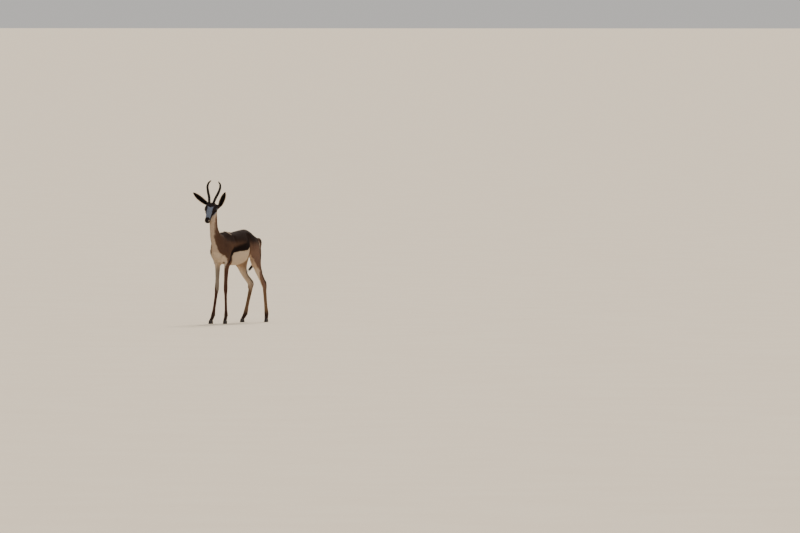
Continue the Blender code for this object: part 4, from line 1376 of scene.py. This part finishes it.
class Habit:
    """How the coat grows at some points: spacing, length, width and height of the locks."""

    def __init__(self, points, normals):
        x, y, z = points.T
        self.spacing = np.full(len(points), 0.0018)
        self.length = np.full(len(points), 0.0125)
        self.width = np.full(len(points), 0.0014)
        self.height = np.maximum(coat_depth(points), 0.0011)
        self.set(ramp(above_neck_base(points), -0.05, 0.03), 0.0016, 0.0100, 0.0012)
        self.set(ramp(z, 0.56, 0.44), 0.0015, 0.0072, 0.0011)
        self.set(ramp(z, 0.40, 0.28), 0.0013, 0.0052, 0.0009)
        rump = ramp(y, 0.22, 0.28) * ramp(z, 0.40, 0.48) * ramp(normals[:, 1], 0.0, 0.4)
        self.set(rump, 0.0019, 0.0180, 0.0015)
        crest = ramp(np.abs(x), 0.012, 0.007) * ramp(y, 0.03, 0.06) * ramp(y, 0.30, 0.28)
        crest = crest * ramp(normals[:, 2], 0.5, 0.7)
        self.set(crest, 0.0014, 0.0300, 0.0017)
        head = ramp(above_throat(points), -0.020, 0.020)
        self.set(head, 0.00115, 0.0045, 0.00075)
        along = HEAD.local(points)[:, 2]
        self.set(head * ramp(along, 0.03, 0.09), 0.0009, 0.0026, 0.00055)
        self.set(head * ramp(along, 0.096, 0.112), 0.00085, 0.0016, 0.00045)
        share, spread, _ = ear_place(points, normals)
        ear = ramp(share, 0.05, 0.12)
        self.set(ear, 0.0012, 0.0055, 0.0008)
        self.set(ear * ramp(np.abs(spread), 0.80, 0.95), 0.0010, 0.0070, 0.0008)
        tail = tail_share(points)
        self.set(tail, 0.0017, 0.0160, 0.0012)
        self.set(tail * ramp(z, TAIL_DARK + 0.01, TAIL_DARK - 0.02), 0.0014, 0.0240, 0.0012)
        self.height = self.height + crest * 0.003 + 0.0012 * ear
        self.height = (self.height + tail * 0.002) * (1 - 0.6 * head * ramp(along, 0.085, 0.105))

    def set(self, share, spacing, length, width):
        """Change over to other locks where the share is 1."""
        self.spacing = self.spacing + (spacing - self.spacing) * share
        self.length = self.length + (length - self.length) * share
        self.width = self.width + (width - self.width) * share


def bare(points):
    """Where no lock grows: in the eyes and nostrils, on the nose, under horns and claws."""
    gone = points[:, 2] < CORONET + 0.003
    for side, _ in SIDES:
        p = eye_frame(side).local(points)
        opening = np.hypot(p[:, 0] / 0.0150, p[:, 1] / 0.0102)
        gone |= (opening < 1) & (p[:, 2] > 0)
        gone |= np.linalg.norm(p, axis=1) < EYE_RADIUS + 0.0004
        axis = np.array([HEAD.world(side * across, up, along) for across, along, up, _ in HORN[:3]])
        gone |= path_distance(points, axis) < 0.0112
        nostril = np.array([HEAD.world(*place) for place in sided(NOSTRIL, side)])
        gone |= path_distance(points, nostril) < 0.0042
    across, up, along = HEAD.local(points).T
    above = up + 0.0300
    pad = (along > 0.114) & (above > 0) & (up < -0.0125) & (np.abs(across) < 0.0035 + 0.45 * above)
    lips = path_distance(np.stack((0 * across, up, along), axis=1), np.array(MOUTH)) < 0.0012
    return gone | pad | (lips & (along > 0.07))


def unwrapped(points, triangles):
    """The skin's own unwrap of these triangles: a place on the map for each corner."""
    part = new_object("part", points, triangles)
    bpy.ops.object.select_all(action="DESELECT")
    part.select_set(True)
    bpy.context.view_layer.objects.active = part
    part.data.uv_layers.new(name="OFBake")
    bpy.ops.object.mode_set(mode="EDIT")
    bpy.ops.mesh.select_all(action="SELECT")
    bpy.ops.uv.smart_project(angle_limit=1.15, island_margin=0.004, scale_to_bounds=True)
    bpy.ops.object.mode_set(mode="OBJECT")
    places = values_of(part.data.uv_layers["OFBake"].uv, "vector", 2)
    bpy.data.objects.remove(part)
    return places.reshape(-1, 3, 2)


# The side of the patch that one lock takes on the skin's map.
PATCH = 0.003
# One lock: across and along the patch for its five points, root pair, middle pair and tip.
LOCK_PATCH = np.array(((-0.4, -0.5), (0.4, -0.5), (0.5, 0.1), (-0.5, 0.1), (0.0, 0.5)))
# Its two faces, a quad and a triangle, as corners in a row, and where each face starts.
LOCK_CORNERS = np.array((0, 1, 2, 3, 3, 2, 4))
LOCK_STARTS = np.array((0, 4))
LOCK_SHADES = np.array((0.84, 0.84, 1.00, 1.00, 1.07))


def lock_mesh(name, points, colours, places):
    """Points in fives: two at the root, two at the middle and the tip."""
    first = np.arange(len(points) // len(LOCK_PATCH))[:, None]
    corners = (first * len(LOCK_PATCH) + LOCK_CORNERS).ravel()
    starts = (first * len(LOCK_CORNERS) + LOCK_STARTS).ravel()
    mesh = bpy.data.meshes.new(name)
    mesh.vertices.add(len(points))
    mesh.vertices.foreach_set("co", (points + SHIFT).astype(np.float32).ravel())
    mesh.loops.add(len(corners))
    mesh.loops.foreach_set("vertex_index", corners.astype(np.int32))
    mesh.polygons.add(len(starts))
    mesh.polygons.foreach_set("loop_start", starts.astype(np.int32))
    mesh.update(calc_edges=True)
    mesh.polygons.foreach_set("use_smooth", np.ones(len(starts), bool))
    layer = mesh.uv_layers.new(name="OFBake")
    layer.uv.foreach_set("vector", places[corners].astype(np.float32).ravel())
    paint_points(mesh, colours)
    return placed(name, mesh)


def paint_points(mesh, colours):
    shades = mesh.color_attributes.new("coat", "FLOAT_COLOR", "POINT")
    rgba = np.ones((len(colours), 4), np.float32)
    rgba[:, :3] = np.clip(colours, 0, 1)
    shades.data.foreach_set("color", rgba.ravel())


def locks(name, roots, normals, places, habit, colours):
    """Thin curved blades that rise from the roots and lie down along the coat."""
    count = len(roots)
    ways = lie_of_coat(roots, normals)
    sides = np.cross(ways, normals)
    loose = 1 + 1.6 * tail_share(roots) * ramp(roots[:, 2], TAIL_DARK, TAIL_DARK - 0.04)
    turn = (loose * rng.normal(0, 0.13, count) + 0.13 * wander(roots, 0.035))[:, None]
    ways = unit(ways + turn * sides)
    sides = unit(np.cross(ways, normals) + rng.normal(0, 0.22, count)[:, None] * normals)
    length = (habit.length * rng.uniform(0.75, 1.25, count))[:, None]
    width = (habit.width * rng.uniform(0.8, 1.25, count))[:, None] / 2
    height = (habit.height * rng.uniform(0.6, 1.1, count))[:, None]
    root = roots - 0.0004 * normals
    middle = roots + 0.48 * length * ways + 0.85 * height * normals
    tip = roots + length * ways + height * normals
    edges = (
        root - 0.8 * width * sides, root + 0.8 * width * sides,
        middle + width * sides, middle - width * sides, tip,
    )
    points = np.stack(edges, axis=1)
    shade = (1 + rng.normal(0, 0.07, count))[:, None, None]
    colours = colours[:, None, :] * shade * LOCK_SHADES[None, :, None]
    patch = places[:, None, :] + PATCH * LOCK_PATCH[None]
    return lock_mesh(name, points.reshape(-1, 3), colours.reshape(-1, 3), patch.reshape(-1, 2))


def grow(name, points, normals, triangles, material):
    """Sow roots over one region of the skin and grow its locks."""
    places = unwrapped(points, triangles)
    corners = points[triangles]
    sides = corners[:, 1:] - corners[:, :1]
    area = np.linalg.norm(np.cross(sides[:, 0], sides[:, 1]), axis=1) / 2
    spacing = Habit(corners.mean(axis=1), unit(normals[triangles].mean(axis=1))).spacing
    weight = np.cumsum(area / spacing ** 2)
    wanted = np.arange(int(weight[-1])) + rng.random(int(weight[-1]))
    chosen = np.minimum(np.searchsorted(weight, wanted), len(triangles) - 1)
    a = np.sqrt(rng.random(len(chosen)))
    b = rng.random(len(chosen))
    share = np.stack((1 - a, a * (1 - b), a * b), axis=1)[:, :, None]
    roots = (corners[chosen] * share).sum(axis=1)
    facing = unit((normals[triangles[chosen]] * share).sum(axis=1))
    spots = (places[chosen] * share).sum(axis=1)
    keep = ~bare(roots)
    roots, facing, spots = roots[keep], facing[keep], spots[keep]
    jitter = roots + rng.normal(0, 0.0008, roots.shape)
    coat = locks(name, roots, facing, spots, Habit(roots, facing), markings(jitter, facing))
    finish_piece(coat, material)


def regions(middle, normals):
    """Which part of the coat each triangle belongs to; a later row goes over the ones before."""
    x, y, z = middle.T
    left = x > 0
    low = z < 0.50
    fore = y < 0
    rear = y > 0.06
    head = above_throat(middle) > -0.012
    ear = (ear_place(middle, normals)[0] > 0) & head
    names = np.full(len(middle), "coat_trunk_right", dtype="U24")
    for name, here in (
        ("coat_trunk_left", left),
        ("coat_haunch_left", rear & left),
        ("coat_haunch_right", rear & ~left),
        ("coat_leg_fore_left", low & fore & left),
        ("coat_leg_fore_right", low & fore & ~left),
        ("coat_leg_hind_left", low & ~fore & left),
        ("coat_leg_hind_right", low & ~fore & ~left),
        ("coat_tail", tail_share(middle) > 0.5),
        ("coat_neck", above_neck_base(middle) > 0),
        ("coat_head", head),
        ("coat_ear_left", ear & left),
        ("coat_ear_right", ear & ~left),
    ):
        names[here] = name
    return names


def finish_piece(obj, material):
    obj.data.materials.clear()
    obj.data.materials.append(material)
    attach(obj, "root")


class Look:
    """A material that is built up node by node."""

    def __init__(self, name, roughness, specular=0.5, **inputs):
        self.material = bpy.data.materials.new(name)
        self.material.use_nodes = True
        self.tree = self.material.node_tree
        self.shader = self.tree.nodes["Principled BSDF"]
        self.feed(self.shader, {"Roughness": roughness, "Specular IOR Level": specular})
        self.feed(self.shader, {key.replace("_", " "): value for key, value in inputs.items()})

    def feed(self, node, inputs):
        """Link each input to a socket, or give it its value."""
        for name, value in inputs.items():
            if isinstance(value, bpy.types.NodeSocket):
                self.tree.links.new(value, node.inputs[name])
            else:
                node.inputs[name].default_value = value

    def node(self, kind, output, inputs, **settings):
        """A new node's output."""
        node = self.tree.nodes.new("ShaderNode" + kind)
        for name, value in settings.items():
            setattr(node, name, value)
        self.feed(node, inputs)
        return node.outputs[output]

    def colour(self, value):
        self.feed(self.shader, {"Base Color": value})

    def place(self):
        return self.node("TexCoord", "Object", {})

    def noise(self, scale, detail=3.0, place=None):
        if place is None:
            place = self.place()
        return self.node("TexNoise", "Fac", {"Scale": scale, "Detail": detail, "Vector": place})

    def spread(self, value, low, high):
        """The value's middle range stretched from low to high."""
        inputs = {"Value": value, "From Min": 0.3, "From Max": 0.7, "To Min": low, "To Max": high}
        return self.node("MapRange", "Result", inputs)

    def times(self, first, second):
        return self.node("VectorMath", "Vector", {0: first, 1: second}, operation="MULTIPLY")

    def scale_of_colours(self, value, *stops):
        """The value turned into a colour; each stop is a value and the colour there."""
        node = self.tree.nodes.new("ShaderNodeValToRGB")
        scale = node.color_ramp.elements
        for index, (place, colour) in enumerate(stops):
            stop = scale[index] if index < len(scale) else scale.new(place)
            stop.position = place
            stop.color = (*colour, 1)
        self.tree.links.new(value, node.inputs["Fac"])
        return node.outputs["Color"]

    def bump(self, height, strength, distance):
        inputs = {"Height": height, "Strength": strength, "Distance": distance}
        self.feed(self.shader, {"Normal": self.node("Bump", "Normal", inputs)})


def painted(name, roughness, mottle, scale, **inputs):
    """Hair or skin that carries the markings, with a fine mottle."""
    look = Look(name, roughness, 0.10, **inputs)
    markings_read = look.node("Attribute", "Color", {}, attribute_name="coat")
    look.colour(look.times(markings_read, look.spread(look.noise(scale), *mottle)))
    return look


def coat_material():
    return painted("coat", 0.75, (0.86, 1.12), 900, Sheen_Weight=0.05, Sheen_Roughness=0.45).material


def skin_material():
    look = painted("short_coat", 0.80, (0.72, 1.10), 700, Sheen_Weight=0.04)
    look.bump(look.noise(1400, 4.0), 0.55, 0.0006)
    return look.material


def horn_material():
    """Near-black horn with a grain along it."""
    look = Look("horn", 0.55, 0.15)
    grain = look.noise(30.0, 6.0, look.node("UVMap", "UV", {}, uv_map="along"))
    look.colour(look.scale_of_colours(grain, (0.32, HORN_DARK * 0.45), (0.72, HORN_DARK * 1.7)))
    look.feed(look.shader, {"Roughness": look.spread(look.noise(240), 0.44, 0.66)})
    look.bump(grain, 0.6, 0.0005)
    return look.material


def hoof_material():
    look = Look("hoof", 0.5)
    mottle = look.noise(160, 5.0)
    look.colour(look.scale_of_colours(mottle, (0.30, HOOF_DARK * 0.5), (0.75, HOOF_DARK * 2.0)))
    look.feed(look.shader, {"Roughness": look.spread(look.noise(420), 0.40, 0.66)})
    look.bump(look.noise(700), 0.4, 0.0004)
    return look.material


def eye_material():
    """Dark iris with a level pupil; the eye's own z axis looks outwards and x lies along the lids."""
    look = Look("eye", 0.04, 0.18, Coat_Weight=0.10, Coat_Roughness=0.02, IOR=1.38)
    oval = look.times(look.place(), (1 / IRIS_HALF_LENGTH, 1 / IRIS_HALF_HEIGHT, 0))
    reach = look.node("VectorMath", "Value", {0: oval}, operation="LENGTH")
    iris = look.scale_of_colours(reach, *IRIS)
    look.colour(look.times(iris, look.spread(look.noise(1500), 0.6, 1.4)))
    return look.material


def add_eyes():
    material = eye_material()
    for side, name in SIDES:
        eye = eye_frame(side)
        mesh = bpy.data.meshes.new(f"eyeball_{name}")
        work = bmesh.new()
        bmesh.ops.create_uvsphere(work, u_segments=48, v_segments=36, radius=EYE_RADIUS)
        for vertex in work.verts:
            tilt = math.acos(max(-1, min(1, vertex.co.z / EYE_RADIUS)))
            vertex.co *= 1 + 0.045 * math.exp(-(tilt / 0.62) ** 4)
        work.to_mesh(mesh)
        work.free()
        mesh.polygons.foreach_set("use_smooth", [True] * len(mesh.polygons))
        eyeball = placed(f"eyeball_{name}", mesh)
        turn = Matrix(np.column_stack((eye.axes[0], np.cross(eye.axes[2], eye.axes[0]), eye.axes[2])))
        eyeball.matrix_world = Matrix.Translation(Vector(eye.origin + SHIFT)) @ turn.to_4x4()
        finish_piece(eyeball, material)
        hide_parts(f"eye_{name}")


def horn_sections(path, share, side, turn):
    """Rings along a horn; its swellings crowd near the root and fade out before the smooth tip."""
    phase = 2 * math.pi * HORN_RINGS * share ** 0.85
    swell = HORN_SWELL * np.abs(np.sin(phase / 2)) ** 0.6
    swell = swell * ramp(share, 0.72, 0.45) * ramp(share, 0.02, 0.10)
    sections = []
    for k, row in enumerate(path):
        ahead = path[min(k + 1, len(path) - 1)][:3] - path[max(k - 1, 0)][:3]
        first = unit(np.cross(ahead, FORWARD))
        second = unit(np.cross(ahead, first))
        lean = 0.0009 * np.sin(turn + side) * swell[k] / HORN_SWELL
        ripple = 1 + swell[k] + 0.012 * np.sin(7 * turn + 9 * share[k])
        reach = row[3] * 1.04 * ripple
        ring = row[:3] + np.outer(reach * np.cos(turn), first) + np.outer(reach * np.sin(turn), second)
        sections.append(ring + np.outer(lean, unit(ahead)) + SHIFT)
    return sections


def add_horns():
    material = horn_material()
    turn = np.linspace(0, 2 * math.pi, HORN_SIDES + 1)[:-1]
    for side, name in SIDES:
        places = [(*HEAD.world(side * across, up, along), radius) for across, along, up, radius in HORN]
        path = spline(places, 26)
        steps = np.linalg.norm(np.diff(path[:, :3], axis=0), axis=1)
        length = np.concatenate(((0,), np.cumsum(steps)))
        share = length / length[-1]
        horn = rings(f"horn_sheath_{name}", horn_sections(path, share, side, turn))
        index = values_of(horn.data.loops, "vertex_index", kind=np.int32)
        around = np.abs((index % HORN_SIDES) / HORN_SIDES - 0.5) * 2
        places = np.stack((around * 1.6, share[index // HORN_SIDES] * 0.7), axis=1)
        layer = horn.data.uv_layers.new(name="along")
        layer.uv.foreach_set("vector", places.astype(np.float32).ravel())
        finish_piece(horn, material)
        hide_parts(f"horn_{name}")


def claw_sections(x, y, side, turn):
    """Rings of a claw from its sole upwards."""
    outline = np.array(CLAW)
    closed = spline(np.vstack((outline[-1:], outline, outline[:2])), 5)[5:-6]
    pull = closed - closed.mean(axis=0)
    reach = np.linalg.norm(pull, axis=1)[:, None]
    sections = []
    for share, inset in CLAW_RINGS:
        ring = closed - inset * pull / reach
        along = ring[:, 0] * (1 - (0.06 + 0.36 * (ring[:, 0] > 0)) * share)
        across = side * (ring[:, 1] * (1 - 0.04 * share) + 0.0003 * share)
        height = share * (CORONET + 0.0015 + CORONET_SLOPE * along)
        sections.append(np.stack((
            x + across * math.cos(turn) + along * math.sin(turn),
            y - along * math.cos(turn) + across * math.sin(turn),
            height,
        ), axis=1))
    return sections


def add_claws():
    material = hoof_material()
    for side, name in SIDES:
        for kind, legs in (("fore", FORE_LEG), ("hind", HIND_LEG)):
            x, y = legs[name][0][1:3]
            for which, facing in (("outer", side), ("inner", -side)):
                sections = [section + SHIFT for section in claw_sections(x, y, facing, side * TOE_OUT)]
                claw = rings(f"claw_{kind}_{name}_{which}", sections)
                finish_piece(claw, material)
                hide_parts(f"hoof_{kind}_{name}_{which}")
            spurs = dewclaws(f"dewclaws_{kind}_{name}", legs[name][2])
            finish_piece(spurs, material)


def dewclaws(name, row):
    """The two small claws behind the fetlock."""
    height, x, y, _, half_y = row
    points = []
    faces = []
    for way in (-1, 1):
        faces += ring_faces(len(points), DEWCLAW_SIDES, len(DEWCLAW_RINGS))
        for share, radius in DEWCLAW_RINGS:
            centre = np.array((
                x + way * (0.0062 + 0.0016 * share),
                y + half_y * 0.66 + 0.0045 * share,
                height - 0.002 - 0.0125 * share,
            ))
            for angle in np.linspace(0, 2 * math.pi, DEWCLAW_SIDES + 1)[:-1]:
                spoke = np.array((math.cos(angle), 0.75 * math.sin(angle), 0.35 * math.sin(angle)))
                points.append(centre + radius * spoke + SHIFT)
    return outward(new_object(name, points, faces))


def add_lashes(material):
    """Upper lashes and a few whiskers, as fine curved blades."""
    points = []
    colours = []
    for side, _ in SIDES:
        eye = eye_frame(side)
        for angle in np.linspace(0.35, 2.80, 46):
            along, up = math.cos(angle), math.sin(angle)
            place = eye.world(0.0126 * along, 0.0080 * up, 0.0128 - 0.0045 * abs(along))
            out = unit(eye.axes[2] + 0.35 * eye.axes[1] + 0.35 * along * eye.axes[0])
            length = rng.uniform(0.0075, 0.0110)
            points += blade(place, out, eye.axes[1] * 0.35, eye.axes[0], length, 0.00045)
            colours += [LID] * 5
        for _ in range(16):
            across, up, along = rng.uniform((0.008, -0.042, 0.097), (0.019, -0.022, 0.113))
            out = unit(side * LEFT * 0.9 + FORWARD * 0.5 - UP * 0.45)
            length = rng.uniform(0.014, 0.022)
            points += blade(HEAD.world(side * across, up, along), out, -UP * 0.2, FORWARD, length, 0.00028)
            colours += [MUZZLE] * 5
    places = np.tile(PATCH * LOCK_PATCH + 0.5, (len(points) // 5, 1))
    lashes = lock_mesh("lashes", np.array(points), np.array(colours), places)
    finish_piece(lashes, material)


def blade(root, out, bend, across, length, width):
    """Five points of one hair that starts along out and bends over."""
    middle = root + out * length * 0.5 + bend * length * 0.12
    tip = root + out * length * 0.92 + bend * length * 0.5
    near = across * width
    far = near * 0.7
    return [root - near, root + near, middle + far, middle - far, tip]


def add_skin_and_coat(coat):
    shapes = body_masses() + head_masses()
    for side, _ in SIDES:
        shapes += lids(side)
    shapes += head_folds() + body_folds()
    skin = make_skin(shapes)
    mesh = skin.data
    points = values_of(mesh.vertices, "co", 3).reshape(-1, 3).astype(float)
    normals = values_of(mesh.vertices, "normal", 3).reshape(-1, 3).astype(float)
    paint_points(mesh, markings(points, normals) * SKIN_SHADE)
    mesh.calc_loop_triangles()
    triangles = values_of(mesh.loop_triangles, "vertices", 3, np.int32).reshape(-1, 3)
    names = regions(points[triangles].mean(axis=1), unit(normals[triangles].mean(axis=1)))
    for name in sorted(set(names)):
        used, index = np.unique(triangles[names == name], return_inverse=True)
        grow(name, points[used], normals[used], index.reshape(-1, 3), coat)
    mesh.vertices.foreach_set("co", (points + SHIFT).astype(np.float32).ravel())
    mesh.update()
    finish_piece(skin, skin_material())
    legs = [f"leg_{kind}_{side}" for kind in ("fore", "hind") for side in ("left", "right")]
    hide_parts("head", "neck", "trunk", "tail", "ear_left", "ear_right", *legs)


# Floor, light and camera. The photo's size, and places in it, are in pixels.
PHOTO_WIDTH = 800
PHOTO_HEIGHT = 533
PIXELS_PER_METRE = 120.0
ORIGIN_COLUMN = 237.2
HORIZON_ROW = 20.0
GROUND_ROW = 322.9
DISTANCE = 96.1
AZIMUTH = math.radians(29)
SENSOR = 36.0
CLIP_START = 1.0
CLIP_END = 8000.0
FLOOR_HALF = 3000.0
FLOOR_TONES = (tone(222, 207, 184), tone(230, 217, 196))
KEY_LIGHT = {"azimuth": 195, "elevation": 48, "strength": 3.4, "softness": 18, "colour": (1.0, 0.94, 0.86)}
FILL_LIGHT = {"azimuth": 35, "elevation": 35, "strength": 0.50, "softness": 60, "colour": (0.96, 0.97, 1.0)}
SKY_COLOUR = (0.93, 0.90, 0.86, 1)
SKY_STRENGTH = 0.62


def add_floor():
    corners = [(x * FLOOR_HALF, y * FLOOR_HALF, 0) for x, y in ((-1, -1), (1, -1), (1, 1), (-1, 1))]
    floor = new_object("floor", corners, [(0, 1, 2, 3)], smooth=False)
    look = Look("floor", 0.9, 0.2)
    low, high = ((*shade, 1) for shade in FLOOR_TONES)
    inputs = {"A": low, "B": high, "Factor": look.noise(1.5)}
    look.colour(look.node("Mix", "Result", inputs, data_type="RGBA"))
    floor.data.materials.append(look.material)


def add_sun(name, azimuth, elevation, strength, softness, colour):
    """A soft lamp; azimuth and elevation say where it stands, as seen from the animal."""
    light = bpy.data.lights.new(name, "SUN")
    light.energy = strength
    light.angle = math.radians(softness)
    light.color = colour
    a, e = math.radians(azimuth), math.radians(elevation)
    towards = Vector((math.sin(a) * math.cos(e), -math.cos(a) * math.cos(e), math.sin(e)))
    lamp = placed(name, light)
    lamp.rotation_mode = "QUATERNION"
    lamp.rotation_quaternion = towards.to_track_quat("Z", "Y")


def add_light():
    add_sun("key", **KEY_LIGHT)
    add_sun("fill", **FILL_LIGHT)
    world = bpy.data.worlds.new("studio")
    world.use_nodes = True
    background = world.node_tree.nodes["Background"]
    background.inputs["Color"].default_value = SKY_COLOUR
    background.inputs["Strength"].default_value = SKY_STRENGTH
    bpy.context.scene.world = world


def add_camera():
    """The photo's view: far away, a little above the animal, which stands left of the middle."""
    focal_pixels = PIXELS_PER_METRE * DISTANCE
    view = np.array((-math.sin(AZIMUTH), math.cos(AZIMUTH), 0))
    right = np.array((math.cos(AZIMUTH), math.sin(AZIMUTH), 0))
    rise = (GROUND_ROW - HORIZON_ROW) / PIXELS_PER_METRE
    place = SHIFT * (1, 1, 0) - DISTANCE * view + np.array((0, 0, rise))
    turn = math.atan((PHOTO_WIDTH / 2 - ORIGIN_COLUMN) / focal_pixels)
    dip = math.atan((PHOTO_HEIGHT / 2 - HORIZON_ROW) / focal_pixels)
    level = math.cos(turn) * view + math.sin(turn) * right
    aim = math.cos(dip) * level - math.sin(dip) * np.array((0, 0, 1))
    lens = bpy.data.cameras.new("camera")
    lens.sensor_width = SENSOR
    lens.lens = focal_pixels / PHOTO_WIDTH * SENSOR
    lens.clip_start = CLIP_START
    lens.clip_end = CLIP_END
    camera = placed("camera", lens)
    camera.location = Vector(place)
    camera.rotation_mode = "QUATERNION"
    camera.rotation_quaternion = Vector(aim).to_track_quat("-Z", "Y")
    bpy.context.scene.camera = camera


add_camera()
add_floor()
add_light()
hair = coat_material()
add_skin_and_coat(hair)
add_eyes()
add_horns()
add_claws()
add_lashes(hair)
